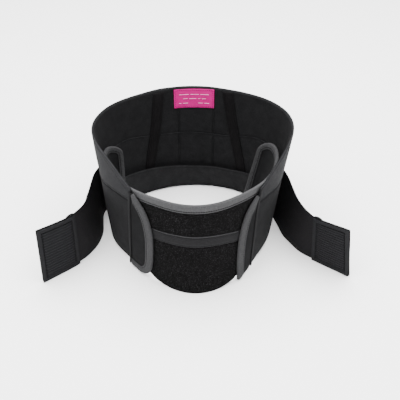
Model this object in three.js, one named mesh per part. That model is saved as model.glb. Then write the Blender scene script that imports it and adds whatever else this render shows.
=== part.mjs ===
// Maternity support belt, standing open on its lower edge with both side straps spread forward.
// Millimetres, +Z up. The belly panel faces -Y. Angles are degrees round the ring from the belly,
// positive toward +X, so 180 is the middle of the back.
import * as THREE from 'three';

// Ring and heights
const ringRadius = 150;
const bandHeight = 200;
const bellyHeight = 163.5;
const bottomLift = 14;

// Cloth thicknesses, and the gap kept between two layers
const layerGap = 0.3;
const seatGap = 0.4;
const bindingPlay = 0.5;
const outerCloth = 2.5;
const liningCloth = 1.2;
const flapCloth = 2.2;
const bellyCloth = 2;
const loopCloth = 1.6;
const midBandCloth = 2.2;
const bindingCloth = 1;
const seamTapeCloth = 1;
const hemCloth = 2;
const stayCloth = 1.8;
const labelCloth = 0.6;
const strapCloth = 1.6;
const hookCloth = 1.2;
const protectorCloth = 1.4;

// Widths, lengths and places of the pieces
const bindingWidth = 12.5;
const seamTapeWidth = 5;
const liningInset = 1.5;
const midBandWidth = 19;
const midBandHeight = 101;
const hemHeight = 66;
const hemLift = 3;
const hemLean = 9;
const hemEndAngle = { left: 124, right: 112 };
const stayWidth = 17;
const stayLowEnd = 32;
const stayTopInset = 4;
const labelWidth = 67;
const labelHeight = 35;
const labelAngle = 177.5;
const labelDrop = 2;
const tongueEndAngle = 120;
const tongueCornerAngle = 98;
const tongueTopCorner = 26;
const tongueLowCorner = 28;
const tongueCurl = 48;
const upperCurl = { left: 1.0, right: 0.42 };
const bellyBindingStartAngle = 62;
const strapLength = 303;
const strapWidth = 92;
const strapRootAngle = 148;
const strapLift = 0.5;
const tabLength = 66;
const hookRise = 2.2;
const hookBump = 3;
const hookBumpLength = 12;

// Control radii of the ring's plan at the floor and at bandHeight, as shares of ringRadius,
// every 30 degrees from the belly to the back. The right side is pressed in more at the floor.
const planStep = 30;
const planTable = [
  { leftFloor: 1.02, rightFloor: 1.02, rim: 0.985 },
  { leftFloor: 0.85, rightFloor: 0.853, rim: 0.905 },
  { leftFloor: 0.79, rightFloor: 0.76, rim: 0.895 },
  { leftFloor: 0.905, rightFloor: 0.813, rim: 1.035 },
  { leftFloor: 1.045, rightFloor: 1.047, rim: 1.13 },
  { leftFloor: 1.045, rightFloor: 1.047, rim: 1.07 },
  { leftFloor: 1.03, rightFloor: 1.03, rim: 1.04 },
];

// Upper edge of the band, as shares of bandHeight.
const rimTable = [
  { angle: 40, height: 0.77 },
  { angle: 46, height: 0.8 },
  { angle: 55, height: 0.86 },
  { angle: 66, height: 0.935 },
  { angle: 78, height: 0.99 },
  { angle: 95, height: 1.01 },
  { angle: 125, height: 1.0 },
  { angle: 150, height: 0.996 },
  { angle: 166, height: 1.007 },
  { angle: 180, height: 1.009 },
];

// Lower edge of the band, as shares of bottomLift.
const footTable = [
  { angle: 40, height: 0.65 },
  { angle: 56, height: 0.85 },
  { angle: 70, height: 0.6 },
  { angle: 85, height: 0.2 },
  { angle: 98, height: 0 },
  { angle: 180, height: 0 },
];

// Seam between the upper and the lower panel of the band, as shares of bandHeight.
const seamTable = [
  { angle: 44, left: 0.715, right: 0.68 },
  { angle: 60, left: 0.705, right: 0.66 },
  { angle: 75, left: 0.675, right: 0.625 },
  { angle: 95, left: 0.61, right: 0.6 },
  { angle: 130, left: 0.63, right: 0.62 },
  { angle: 160, left: 0.575, right: 0.555 },
  { angle: 180, left: 0.57, right: 0.57 },
];

// Upright seams where the flaps join the band: angle from the belly at shares of bandHeight.
const flapSeamTable = [
  { height: 0.02, left: 58.5, right: 44.5 },
  { height: 0.25, left: 54.5, right: 44.3 },
  { height: 0.45, left: 51.5, right: 44.0 },
  { height: 0.65, left: 49.0, right: 44.3 },
  { height: 0.82, left: 46.3, right: 47.0 },
];

// Height at which each upright seam starts, as a share of bandHeight.
const flapSeamFoot = { left: 0.014, right: 0.045 };

// Free edge of each flap: angle from the belly at shares of bandHeight.
const leftFlapTable = [
  { height: 0.014, angle: 46 },
  { height: 0.024, angle: 42 },
  { height: 0.058, angle: 37.5 },
  { height: 0.125, angle: 34 },
  { height: 0.24, angle: 32 },
  { height: 0.42, angle: 31 },
  { height: 0.56, angle: 32.3 },
  { height: 0.66, angle: 35.2 },
  { height: 0.73, angle: 39.4 },
  { height: 0.79, angle: 44.5 },
];
const rightFlapTable = [
  { height: 0.012, angle: 29.8 },
  { height: 0.12, angle: 28.9 },
  { height: 0.24, angle: 28.4 },
  { height: 0.37, angle: 28.7 },
  { height: 0.5, angle: 30.3 },
  { height: 0.61, angle: 33.1 },
  { height: 0.69, angle: 37.8 },
  { height: 0.745, angle: 43.5 },
];

// Belly panel from its middle to the tongues: upper edge as shares of bellyHeight, lower edge as
// shares of bottomLift, and how far each side stands in from the band at the floor, as shares of
// tongueCurl.
const bellyTable = [
  { angle: 0, top: 1.0, foot: 0, left: 0, right: 0 },
  { angle: 12, top: 1.0, foot: 0.02, left: 0, right: 0 },
  { angle: 24, top: 1.0, foot: 0.22, left: 0, right: 0 },
  { angle: 36, top: 0.99, foot: 0.9, left: 0, right: 0 },
  { angle: 52, top: 0.97, foot: 1.0, left: 0, right: 0.01 },
  { angle: 66, top: 0.955, foot: 1.0, left: 0.03, right: 0.12 },
  { angle: 80, top: 0.945, foot: 1.0, left: 0.06, right: 0.27 },
  { angle: 98, top: 0.935, foot: 1.0, left: 0.09, right: 0.47 },
  { angle: 109, top: 0.93, foot: 1.0, left: 0.13, right: 0.6 },
  { angle: 115, top: 0.93, foot: 1.0, left: 0.25, right: 0.75 },
  { angle: 120, top: 0.93, foot: 1.0, left: 0.42, right: 0.97 },
  { angle: 122, top: 0.93, foot: 1.0, left: 0.49, right: 1.06 },
];

// Middle line of the belly's mid band, as shares of midBandHeight.
const midBandTable = [
  { angle: -48, height: 0.92 },
  { angle: -26, height: 0.97 },
  { angle: -10, height: 1.0 },
  { angle: 4, height: 1.0 },
  { angle: 16, height: 0.97 },
  { angle: 28, height: 0.9 },
  { angle: 48, height: 0.83 },
];

// Upper edge of the inner hem, as shares of hemHeight, right side and left side of the back.
const hemTable = [
  { angle: 112, left: 1.08, right: 0.9 },
  { angle: 126, left: 1.0, right: 0.84 },
  { angle: 140, left: 0.9, right: 0.78 },
  { angle: 155, left: 0.82, right: 0.72 },
  { angle: 180, left: 0.72, right: 0.72 },
];

// Middle line of each stay: angle from the middle of the back at shares of bandHeight.
const stayTable = [
  { height: 0.12, left: 30.5, right: 37.5 },
  { height: 0.35, left: 27.4, right: 33.8 },
  { height: 0.65, left: 23.2, right: 28.4 },
  { height: 1.0, left: 20.0, right: 23.6 },
];

// Side straps past the place where each leaves the band: at shares of the free length, the heading
// from straight forward toward the strap's own side, the lean of its top edge away from the ring as
// a share of strapWidth, and its width there as a share of strapWidth.
const strapTables = {
  left: {
    leaveAngle: 135,
    rows: [
      { share: 0.00, heading: 48, lean: 0.02, width: 1.00 },
      { share: 0.12, heading: 62, lean: 0.02, width: 1.00 },
      { share: 0.24, heading: 15, lean: 0.06, width: 0.99 },
      { share: 0.34, heading: -1, lean: 0.11, width: 1.00 },
      { share: 0.43, heading: 4, lean: 0.15, width: 1.01 },
      { share: 0.53, heading: 10, lean: 0.13, width: 1.02 },
      { share: 0.61, heading: 20, lean: 0.07, width: 1.03 },
      { share: 0.69, heading: 34, lean: 0.03, width: 1.04 },
      { share: 0.76, heading: 40, lean: -0.01, width: 1.05 },
      { share: 0.84, heading: 50, lean: -0.03, width: 1.07 },
      { share: 1.00, heading: 52, lean: -0.04, width: 1.11 },
    ],
  },
  right: {
    leaveAngle: 125,
    rows: [
      { share: 0.00, heading: 32, lean: 0.08, width: 1.00 },
      { share: 0.10, heading: 25, lean: 0.11, width: 1.00 },
      { share: 0.20, heading: 12, lean: 0.17, width: 1.00 },
      { share: 0.29, heading: 8, lean: 0.16, width: 1.00 },
      { share: 0.40, heading: 11, lean: 0.14, width: 0.98 },
      { share: 0.52, heading: 20, lean: 0.06, width: 0.97 },
      { share: 0.63, heading: 30, lean: 0.00, width: 0.95 },
      { share: 0.70, heading: 40, lean: -0.07, width: 0.95 },
      { share: 0.76, heading: 44, lean: -0.11, width: 0.97 },
      { share: 0.84, heading: 45, lean: -0.14, width: 1.01 },
      { share: 1.00, heading: 43, lean: -0.21, width: 1.12 },
    ],
  },
};

// Depths of the layers, measured inward from the band's outer face
const liningDepth = outerCloth + layerGap;
const liningFaceDepth = liningDepth + liningCloth;
const innerSeatDepth = liningFaceDepth + seatGap;
const flapBackDepth = flapCloth + bindingPlay + bindingCloth;
const bellyFaceDepth = Math.max(flapBackDepth, liningFaceDepth) + layerGap;
const bellyCoverCloth = Math.max(loopCloth, midBandCloth, bindingCloth);
const bellyPanelDepth = bellyFaceDepth + bellyCoverCloth + layerGap;

// Steps of the sheets' grids, columns along the ring and rows up it
const columnAngle = 4.4;
const lowerBandRows = 3;
const upperBandRows = 2;
const hemRows = 2;
const stayColumns = 4;
const stayRows = 5;
const labelColumns = 6;
const flapColumns = 5;
const flapFootSteps = 4;
const tapeRows = 8;
const bellySteps = 19;
const cornerSteps = 9;
const tongueEndSteps = 3;
const coverColumns = 24;
const loopRows = 3;
const midBandRows = 2;
const sewnSteps = 4;
const freeSteps = 20;
const bareColumns = 20;
const tabColumns = 7;
const strapRows = 3;
const tabRows = 2;

// Small distances over which directions are read, in degrees, in stations and in shares of length
const probeAngle = 0.5;
const probeStation = 0.02;
const probeShare = 0.01;
const radians = THREE.MathUtils.degToRad;
const lerp = THREE.MathUtils.lerp;

// Value of one column of a table at x, on a smooth curve that passes its rows without overshoot.
function readTable(rows, keyColumn, column, x) {
  const last = rows.length - 1;
  const at = THREE.MathUtils.clamp(x, rows[0][keyColumn], rows[last][keyColumn]);
  let i = 0;
  while (i < last - 1 && at > rows[i + 1][keyColumn]) i += 1;
  const secant = (k) => {
    const from = THREE.MathUtils.clamp(k, 0, last - 1);
    const rise = rows[from + 1][column] - rows[from][column];
    return rise / (rows[from + 1][keyColumn] - rows[from][keyColumn]);
  };
  const slope = (k) => {
    const before = secant(k - 1);
    const after = secant(k);
    return before * after > 0 ? 2 * before * after / (before + after) : 0;
  };
  const span = rows[i + 1][keyColumn] - rows[i][keyColumn];
  const t = (at - rows[i][keyColumn]) / span;
  const low = rows[i][column];
  const high = rows[i + 1][column];
  const bendLow = slope(i) * span;
  const bendHigh = slope(i + 1) * span;
  return low * (2 * t ** 3 - 3 * t ** 2 + 1) + bendLow * (t ** 3 - 2 * t ** 2 + t)
    + high * (3 * t ** 2 - 2 * t ** 3) + bendHigh * (t ** 3 - t ** 2);
}

// Evenly spaced numbers from first to last, both included.
function spread(first, last, steps) {
  return Array.from({ length: steps + 1 }, (_, i) => lerp(first, last, i / steps));
}

// Angle measured from the belly without its side, and the name of the side.
function fromBelly(angle) {
  const turn = THREE.MathUtils.euclideanModulo(angle + 180, 360) - 180;
  return { angle: Math.abs(turn), side: turn < 0 ? 'left' : 'right' };
}

// Radius of the ring's plan, on a closed cubic B-spline of the control radii.
function planRadius(angle, rightColumn, leftColumn) {
  const place = THREE.MathUtils.euclideanModulo(angle, 360) / planStep;
  const first = Math.floor(place);
  const t = place - first;
  const half = planTable.length - 1;
  const control = (i) => {
    const k = THREE.MathUtils.euclideanModulo(i, 2 * half);
    return k > half ? planTable[2 * half - k][leftColumn] : planTable[k][rightColumn];
  };
  const weights = [(1 - t) ** 3, 3 * t ** 3 - 6 * t ** 2 + 4, -3 * t ** 3 + 3 * t ** 2 + 3 * t + 1, t ** 3];
  const sum = weights.reduce((total, weight, i) => total + weight * control(first - 1 + i), 0);
  return ringRadius * sum / 6;
}

function outerFacePoint(angle, height) {
  const share = height / bandHeight;
  const floorRadius = planRadius(angle, 'rightFloor', 'leftFloor');
  const radius = lerp(floorRadius, planRadius(angle, 'rim', 'rim'), share);
  const a = radians(angle);
  return new THREE.Vector3(radius * Math.sin(a), -radius * Math.cos(a), height);
}

// Level direction to the left of the way a surface runs along u, which is inward for growing angles.
function levelNormal(surfaceAt, u, height, probe) {
  const along = surfaceAt(u + probe, height).sub(surfaceAt(u - probe, height));
  return new THREE.Vector3(-along.y, along.x, 0).normalize();
}

// Point of the band at an angle and height, moved inward from the outer face by a depth.
function wallPoint(angle, height, depth) {
  const normal = levelNormal(outerFacePoint, angle, height, probeAngle);
  return outerFacePoint(angle, height).addScaledVector(normal, depth);
}

const rimHeight = (angle) => bandHeight * readTable(rimTable, 'angle', 'height', fromBelly(angle).angle);
const footHeight = (angle) => bottomLift * readTable(footTable, 'angle', 'height', fromBelly(angle).angle);

function seamHeight(angle) {
  const place = fromBelly(angle);
  return bandHeight * readTable(seamTable, 'angle', place.side, place.angle);
}

function hemTop(angle) {
  const place = fromBelly(angle);
  return hemHeight * readTable(hemTable, 'angle', place.side, place.angle);
}

const flapSeamAngle = (side, height) => readTable(flapSeamTable, 'height', side, height / bandHeight);
const bellyRow = (column, angle) => readTable(bellyTable, 'angle', column, Math.abs(angle));
const curlKept = (side, height) => lerp(1, upperCurl[side], height / bellyHeight);

// Turns faces outward when a body was wound the other way.
function faceOutward(positions, triangles) {
  const a = new THREE.Vector3();
  const b = new THREE.Vector3();
  const c = new THREE.Vector3();
  let volume = 0;
  for (let i = 0; i < triangles.length; i += 3) {
    a.fromArray(positions, triangles[i] * 3);
    b.fromArray(positions, triangles[i + 1] * 3);
    c.fromArray(positions, triangles[i + 2] * 3);
    volume += a.dot(b.cross(c));
  }
  if (volume < 0) triangles.reverse();
}

function bodyGeometry(points, triangles) {
  const positions = points.flatMap((p) => [p.x, p.y, p.z]);
  faceOutward(positions, triangles);
  const geometry = new THREE.BufferGeometry();
  geometry.setAttribute('position', new THREE.Float32BufferAttribute(positions, 3));
  geometry.setIndex(triangles);
  geometry.computeVertexNormals();
  return geometry;
}

// Sheet of cloth as a closed body: a grid of points on a surface, the same grid moved level by the
// thickness, and the strip round their edges. placeAt gives each grid point's place along the
// surface and its height. A negative thickness lies to the right of the way the surface runs.
function sheetGeometry({ across, up, placeAt, surfaceAt, thickness, probe = probeAngle }) {
  const columns = across.length;
  const rows = up.length;
  const face = [];
  const back = [];
  for (const v of up) {
    for (const u of across) {
      const { along, height } = placeAt(u, v);
      const point = surfaceAt(along, height);
      const normal = levelNormal(surfaceAt, along, height, probe);
      face.push(point);
      back.push(point.clone().addScaledVector(normal, thickness));
    }
  }
  const moved = face.length;
  const triangles = [];
  const quad = (a, b, c, d) => triangles.push(a, b, c, a, c, d);
  for (let j = 0; j < rows - 1; j += 1) {
    for (let i = 0; i < columns - 1; i += 1) {
      const k = j * columns + i;
      quad(k, k + 1, k + columns + 1, k + columns);
      quad(moved + k, moved + k + columns, moved + k + columns + 1, moved + k + 1);
    }
  }
  const edge = [];
  for (let i = 0; i < columns - 1; i += 1) edge.push(i);
  for (let j = 0; j < rows - 1; j += 1) edge.push(j * columns + columns - 1);
  for (let i = columns - 1; i > 0; i -= 1) edge.push((rows - 1) * columns + i);
  for (let j = rows - 1; j > 0; j -= 1) edge.push(j * columns);
  edge.forEach((k, i) => {
    const next = edge[(i + 1) % edge.length];
    quad(k, moved + k, moved + next, next);
  });
  return bodyGeometry([...face, ...back], triangles);
}

// Folded binding round a cloth edge: a U section carried along the path of the edge, whose legs
// follow the cloth. pathAt gives the edge's angle and height, surfaceAt the cloth's outer face,
// widthAt the width of the legs, and hand is 1 where the cloth lies to the left of the path.
function bindingGeometry({ stations, pathAt, surfaceAt, widthAt, cloth, hand }) {
  const inner = cloth / 2 + bindingPlay;
  const outer = inner + bindingCloth;
  const edge = -bindingPlay;
  const crest = edge - bindingCloth;
  const section = (width) => [
    [width, outer], [width / 2, outer], [edge, outer], [crest, outer / 2], [crest, -outer / 2],
    [edge, -outer], [width / 2, -outer], [width, -outer], [width, -inner], [width / 2, -inner],
    [edge, -inner], [edge, inner], [width / 2, inner], [width, inner],
  ];
  const points = [];
  stations.forEach((station) => {
    const place = pathAt(station);
    const turned = (offset) => surfaceAt(place.angle + offset, place.height);
    const perDegree = turned(probeAngle).distanceTo(turned(-probeAngle)) / (2 * probeAngle);
    const ahead = pathAt(station + probeStation);
    const behind = pathAt(station - probeStation);
    const along = new THREE.Vector2((ahead.angle - behind.angle) * perDegree, ahead.height - behind.height);
    along.normalize();
    const into = new THREE.Vector2(-along.y * hand, along.x * hand);
    section(widthAt(station)).forEach(([x, y]) => {
      const angle = place.angle + into.x * x / perDegree;
      const height = place.height + into.y * x;
      const normal = levelNormal(surfaceAt, angle, height, probeAngle);
      points.push(surfaceAt(angle, height).addScaledVector(normal, cloth / 2 + y));
    });
  });
  const count = section(1).length;
  const triangles = [];
  for (let j = 0; j < stations.length - 1; j += 1) {
    for (let i = 0; i < count; i += 1) {
      const a = j * count + i;
      const b = j * count + (i + 1) % count;
      triangles.push(a, b, b + count, a, b + count, a + count);
    }
  }
  const outline = section(bindingWidth).map(([x, y]) => new THREE.Vector2(x, y));
  const lastRing = (stations.length - 1) * count;
  const clockwise = THREE.ShapeUtils.isClockWise(outline);
  THREE.ShapeUtils.triangulateShape(outline, []).forEach(([a, b, c]) => {
    const first = clockwise ? [a, b, c] : [a, c, b];
    triangles.push(...first);
    triangles.push(...first.slice().reverse().map((k) => k + lastRing));
  });
  return bodyGeometry(points, triangles);
}

// Cloth colours
const bindingGrey = 0x646464;
const upperGrey = 0x5a5a5a;
const lowerGrey = 0x3c3c3c;
const flapGrey = 0x2c2c2c;
const liningBlack = 0x202021;
const stayBlack = 0x181516;
const hemGrey = 0x2d2d2e;
const loopBlack = 0x1a191a;
const midBandGrey = 0x3a3a3a;
const strapBlack = 0x161416;
const tabGrey = 0x28282a;
const labelPink = 0xd8488c;

const belt = new THREE.Group();

function addPiece(name, color, roughness, geometry) {
  const material = new THREE.MeshStandardMaterial({ color, roughness, metalness: 0 });
  const mesh = new THREE.Mesh(geometry, material);
  mesh.name = name;
  belt.add(mesh);
}

// Angle that keeps the layer gap on each side of an upright seam.
const clearAngle = THREE.MathUtils.radToDeg(layerGap / ringRadius);

// Panel of the band from the right flap seam round the back to the left one.
function bandPanel({ low, high, depth, thickness, rows }) {
  const start = (height) => flapSeamAngle('right', height) + clearAngle;
  const end = (height) => 360 - flapSeamAngle('left', height) - clearAngle;
  const middle = bandHeight / 2;
  const placeAt = (u, v) => {
    const nominal = lerp(start(middle), end(middle), u);
    const height = lerp(low(nominal), high(nominal), v);
    return { along: lerp(start(height), end(height), u), height };
  };
  const surfaceAt = (angle, height) => wallPoint(angle, height, depth);
  const columns = Math.round((end(middle) - start(middle)) / columnAngle);
  return sheetGeometry({
    across: spread(0, 1, columns), up: spread(0, 1, rows), placeAt, surfaceAt, thickness,
  });
}

function addBand() {
  const belowSeam = (angle) => seamHeight(angle) - layerGap / 2;
  const aboveSeam = (angle) => seamHeight(angle) + layerGap / 2;
  const face = { depth: 0, thickness: outerCloth };
  const skin = { depth: liningDepth, thickness: liningCloth };
  const lower = { high: belowSeam, rows: lowerBandRows };
  const upper = { low: aboveSeam, rows: upperBandRows };
  const insetFoot = (angle) => footHeight(angle) + liningInset;
  const insetRim = (angle) => rimHeight(angle) - liningInset;
  addPiece('lower_band', lowerGrey, 0.9, bandPanel({ ...lower, ...face, low: footHeight }));
  addPiece('upper_band', upperGrey, 0.9, bandPanel({ ...upper, ...face, high: rimHeight }));
  addPiece('lining_lower', liningBlack, 0.95, bandPanel({ ...lower, ...skin, low: insetFoot }));
  addPiece('lining_upper', liningBlack, 0.95, bandPanel({ ...upper, ...skin, high: insetRim }));
}

// Strip inside the foot of the back, sewn along its lower edge and leaning inward above it.
function addInnerHem() {
  const foot = liningInset + hemLift;
  const placeAt = (angle, v) => ({ along: angle, height: lerp(foot, hemTop(angle), v) });
  const surfaceAt = (angle, height) => {
    const lean = hemLean * (height - foot) / (hemHeight - foot);
    return wallPoint(angle, height, innerSeatDepth + lean);
  };
  const length = 360 - hemEndAngle.left - hemEndAngle.right;
  const across = spread(hemEndAngle.right, 360 - hemEndAngle.left, Math.round(length / columnAngle));
  const up = spread(0, 1, hemRows);
  const hem = sheetGeometry({ across, up, placeAt, surfaceAt, thickness: hemCloth });
  addPiece('inner_hem', hemGrey, 0.95, hem);
}

// Surface of the lining's inner face, where stays and label are seated.
const innerSeat = (angle, height) => wallPoint(angle, height, innerSeatDepth);

// Boned stays: sewn channels that slope down the inside of the back.
function addStays() {
  const half = THREE.MathUtils.radToDeg(stayWidth / 2 / ringRadius);
  for (const side of ['left', 'right']) {
    const sign = side === 'left' ? 1 : -1;
    const placeAt = (u, v) => {
      const height = lerp(stayLowEnd, bandHeight - stayTopInset, v);
      const middle = 180 + sign * readTable(stayTable, 'height', side, height / bandHeight);
      return { along: middle + half * u, height };
    };
    const stay = sheetGeometry({
      across: spread(-1, 1, stayColumns),
      up: spread(0, 1, stayRows),
      placeAt,
      surfaceAt: innerSeat,
      thickness: stayCloth,
    });
    addPiece(`stay_${side}`, stayBlack, 0.8, stay);
  }
}

function addLabel() {
  const top = rimHeight(labelAngle) - liningInset - labelDrop;
  const half = THREE.MathUtils.radToDeg(labelWidth / 2 / ringRadius);
  const placeAt = (u, v) => ({ along: labelAngle + half * u, height: top - labelHeight * (1 - v) });
  const across = spread(-1, 1, labelColumns);
  const label = sheetGeometry({ across, up: [0, 1], placeAt, surfaceAt: innerSeat, thickness: labelCloth });
  addPiece('label', labelPink, 0.45, label);
}

// Curved front flap from its upright seam to its free edge, with the binding round that edge.
function addFlap(side, table, seamFoot, boundFoot) {
  const sign = side === 'left' ? -1 : 1;
  const last = table.length - 1;
  const footShare = table[0].height;
  const topShare = table[last].height;
  const edgeAngle = (height) => readTable(table, 'height', 'angle', height / bandHeight);
  const seamAngle = (height) => flapSeamAngle(side, height) - clearAngle;
  const seamShare = (share) => lerp(topShare, seamFoot, (topShare - share) / (topShare - footShare));
  const placeAt = (u, share) => {
    const edge = bandHeight * share;
    const seam = bandHeight * seamShare(share);
    return { along: sign * lerp(edgeAngle(edge), seamAngle(seam), u), height: lerp(edge, seam, u) };
  };
  const surfaceAt = (angle, height) => wallPoint(angle, height, 0);
  const up = table.map((row) => row.height);
  const between = up.slice(1).map((share, i) => (share + up[i]) / 2);
  const shares = [...up, ...between].sort((a, b) => a - b);
  const across = spread(0, 1, flapColumns);
  const flap = sheetGeometry({ across, up: shares, placeAt, surfaceAt, thickness: flapCloth });
  addPiece(`${side}_flap`, flapGrey, 0.9, flap);

  const foot = bandHeight * footShare;
  const tapeClear = seamTapeWidth / 2 + layerGap;
  const footSeam = surfaceAt(sign * seamAngle(foot), foot);
  const perDegree = footSeam.distanceTo(surfaceAt(sign * (seamAngle(foot) - 1), foot));
  const footEnd = seamAngle(foot + bindingWidth) - (tapeClear + layerGap) / perDegree;
  const pathAt = (station) => {
    if (station < 0) {
      return { angle: sign * lerp(table[0].angle, footEnd, Math.min(-station, 1)), height: foot };
    }
    const height = bandHeight * lerp(footShare, topShare, Math.min(station, 1));
    return { angle: sign * edgeAngle(height), height };
  };
  const widthAt = (station) => {
    if (station < 0) return bindingWidth;
    const { angle, height } = pathAt(station);
    const seam = surfaceAt(sign * seamAngle(height), height);
    const room = surfaceAt(angle, height).distanceTo(seam) - tapeClear;
    return THREE.MathUtils.clamp(room, 1, bindingWidth);
  };
  const climb = shares.map((share) => (share - footShare) / (topShare - footShare));
  const stations = boundFoot ? [...spread(-1, 0, flapFootSteps).slice(0, -1), ...climb] : climb;
  const binding = bindingGeometry({ stations, pathAt, surfaceAt, widthAt, cloth: flapCloth, hand: -sign });
  addPiece(`${side}_flap_binding`, bindingGrey, 0.85, binding);

  const tapeTop = rimHeight(flapSeamAngle(side, bandHeight * topShare)) - liningInset;
  const half = THREE.MathUtils.radToDeg(seamTapeWidth / 2 / ringRadius);
  const tapePlace = (u, v) => {
    const height = lerp(bandHeight * seamFoot, tapeTop, v);
    return { along: sign * flapSeamAngle(side, height) + half * u, height };
  };
  const tapeSurface = (angle, height) => wallPoint(angle, height, -layerGap - seamTapeCloth);
  const tape = sheetGeometry({
    across: [-1, 1],
    up: spread(0, 1, tapeRows),
    placeAt: tapePlace,
    surfaceAt: tapeSurface,
    thickness: seamTapeCloth,
  });
  addPiece(`${side}_flap_seam`, lowerGrey, 0.9, tape);
}

// Belly panel: one long cloth behind both flaps, with a rounded tongue at each end that stands
// in from the band and curls toward the middle.
const tongueShare = (angle) => (Math.abs(angle) - tongueCornerAngle) / (tongueEndAngle - tongueCornerAngle);
const cornerDrop = (angle) => 1 - Math.sqrt(Math.max(0, 1 - Math.max(0, tongueShare(angle)) ** 2));
const bellyTop = (angle) => bellyHeight * bellyRow('top', angle) - tongueTopCorner * cornerDrop(angle);
const bellyFoot = (angle) => bottomLift * bellyRow('foot', angle) + tongueLowCorner * cornerDrop(angle);

function bellyPoint(angle, height, depth) {
  const side = angle < 0 ? 'left' : 'right';
  return wallPoint(angle, height, depth + tongueCurl * bellyRow(side, angle) * curlKept(side, height));
}

// Rows of the panel, closer together at the rounded corners.
const bellyRows = [0, 0.15, 0.5, 0.85, 1];

const bellyFace = (angle, height) => bellyPoint(angle, height, bellyPanelDepth);

function bellyAngles() {
  const straight = spread(0, tongueCornerAngle, bellySteps);
  const corner = spread(0, 90, cornerSteps).slice(1);
  const curved = corner.map((turn) => lerp(tongueCornerAngle, tongueEndAngle, Math.sin(radians(turn))));
  const half = [...straight, ...curved];
  return [...half.slice(1).reverse().map((angle) => -angle), ...half];
}

function addBellyPanel() {
  const placeAt = (angle, v) => ({ along: angle, height: lerp(bellyFoot(angle), bellyTop(angle), v) });
  const panel = sheetGeometry({
    across: bellyAngles(), up: bellyRows, placeAt, surfaceAt: bellyFace, thickness: bellyCloth,
  });
  addPiece('belly_panel', flapGrey, 0.95, panel);
}

function addBellyBinding() {
  const across = bellyAngles();
  const last = across.length - 1;
  const places = across.map((angle) => ({ angle, height: bellyTop(angle) }));
  const endSteps = spread(0, 1, tongueEndSteps).slice(1, -1);
  const endPlaces = (sign) => endSteps.map((share) => ({
    angle: sign * tongueEndAngle,
    height: lerp(bellyTop(tongueEndAngle), bellyFoot(tongueEndAngle), share),
  }));
  const footAngles = across.filter((angle) => angle >= bellyBindingStartAngle).reverse();
  const footPlaces = (sign) => footAngles.map((angle) => ({ angle: sign * angle, height: bellyFoot(angle) }));
  const route = [
    ...[...endPlaces(-1), ...footPlaces(-1)].reverse(), ...places, ...endPlaces(1), ...footPlaces(1),
  ];
  const unroll = ({ angle, height }) => new THREE.Vector3(radians(angle) * ringRadius, height, 0);
  const curve = new THREE.CatmullRomCurve3(route.map(unroll), false, 'centripetal');
  const pathAt = (station) => {
    const share = THREE.MathUtils.clamp(station / (route.length - 1), 0, 1);
    const flat = curve.getPoint(share);
    return { angle: THREE.MathUtils.radToDeg(flat.x / ringRadius), height: flat.y };
  };
  const stations = route.map((_, i) => i);
  const widthAt = () => bindingWidth;
  const binding = bindingGeometry({
    stations, pathAt, surfaceAt: bellyFace, widthAt, cloth: bellyCloth, hand: -1,
  });
  addPiece('belly_binding', bindingGrey, 0.85, binding);
}

// Covers on the belly's outer face: two pieces of loop velour with the mid band between them.
function addBellyCovers() {
  const midLine = (angle) => midBandHeight * readTable(midBandTable, 'angle', 'height', angle);
  const bandLow = (angle) => midLine(angle) - midBandWidth / 2;
  const bandTop = (angle) => midLine(angle) + midBandWidth / 2;
  const leftEnd = (height) => -flapSeamAngle('left', height) + 2 * clearAngle;
  const rightEnd = (height) => flapSeamAngle('right', height) - 2 * clearAngle;
  const cover = (low, high, cloth, rows) => {
    const placeAt = (u, v) => {
      const nominal = lerp(leftEnd(midBandHeight), rightEnd(midBandHeight), u);
      const height = lerp(low(nominal), high(nominal), v);
      return { along: lerp(leftEnd(height), rightEnd(height), u), height };
    };
    const surfaceAt = (angle, height) => bellyPoint(angle, height, bellyPanelDepth - layerGap - cloth);
    return sheetGeometry({
      across: spread(0, 1, coverColumns), up: spread(0, 1, rows), placeAt, surfaceAt, thickness: cloth,
    });
  };
  const topLine = (angle) => bellyTop(angle) - bindingWidth - 2 * layerGap;
  const overBand = (angle) => bandTop(angle) + layerGap;
  const underBand = (angle) => bandLow(angle) - layerGap;
  addPiece('belly_loop_upper', loopBlack, 1, cover(overBand, topLine, loopCloth, loopRows));
  addPiece('belly_loop_lower', loopBlack, 1, cover(bellyFoot, underBand, loopCloth, loopRows));
  addPiece('belly_mid_band', midBandGrey, 0.85, cover(bandLow, bandTop, midBandCloth, midBandRows));
}

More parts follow.
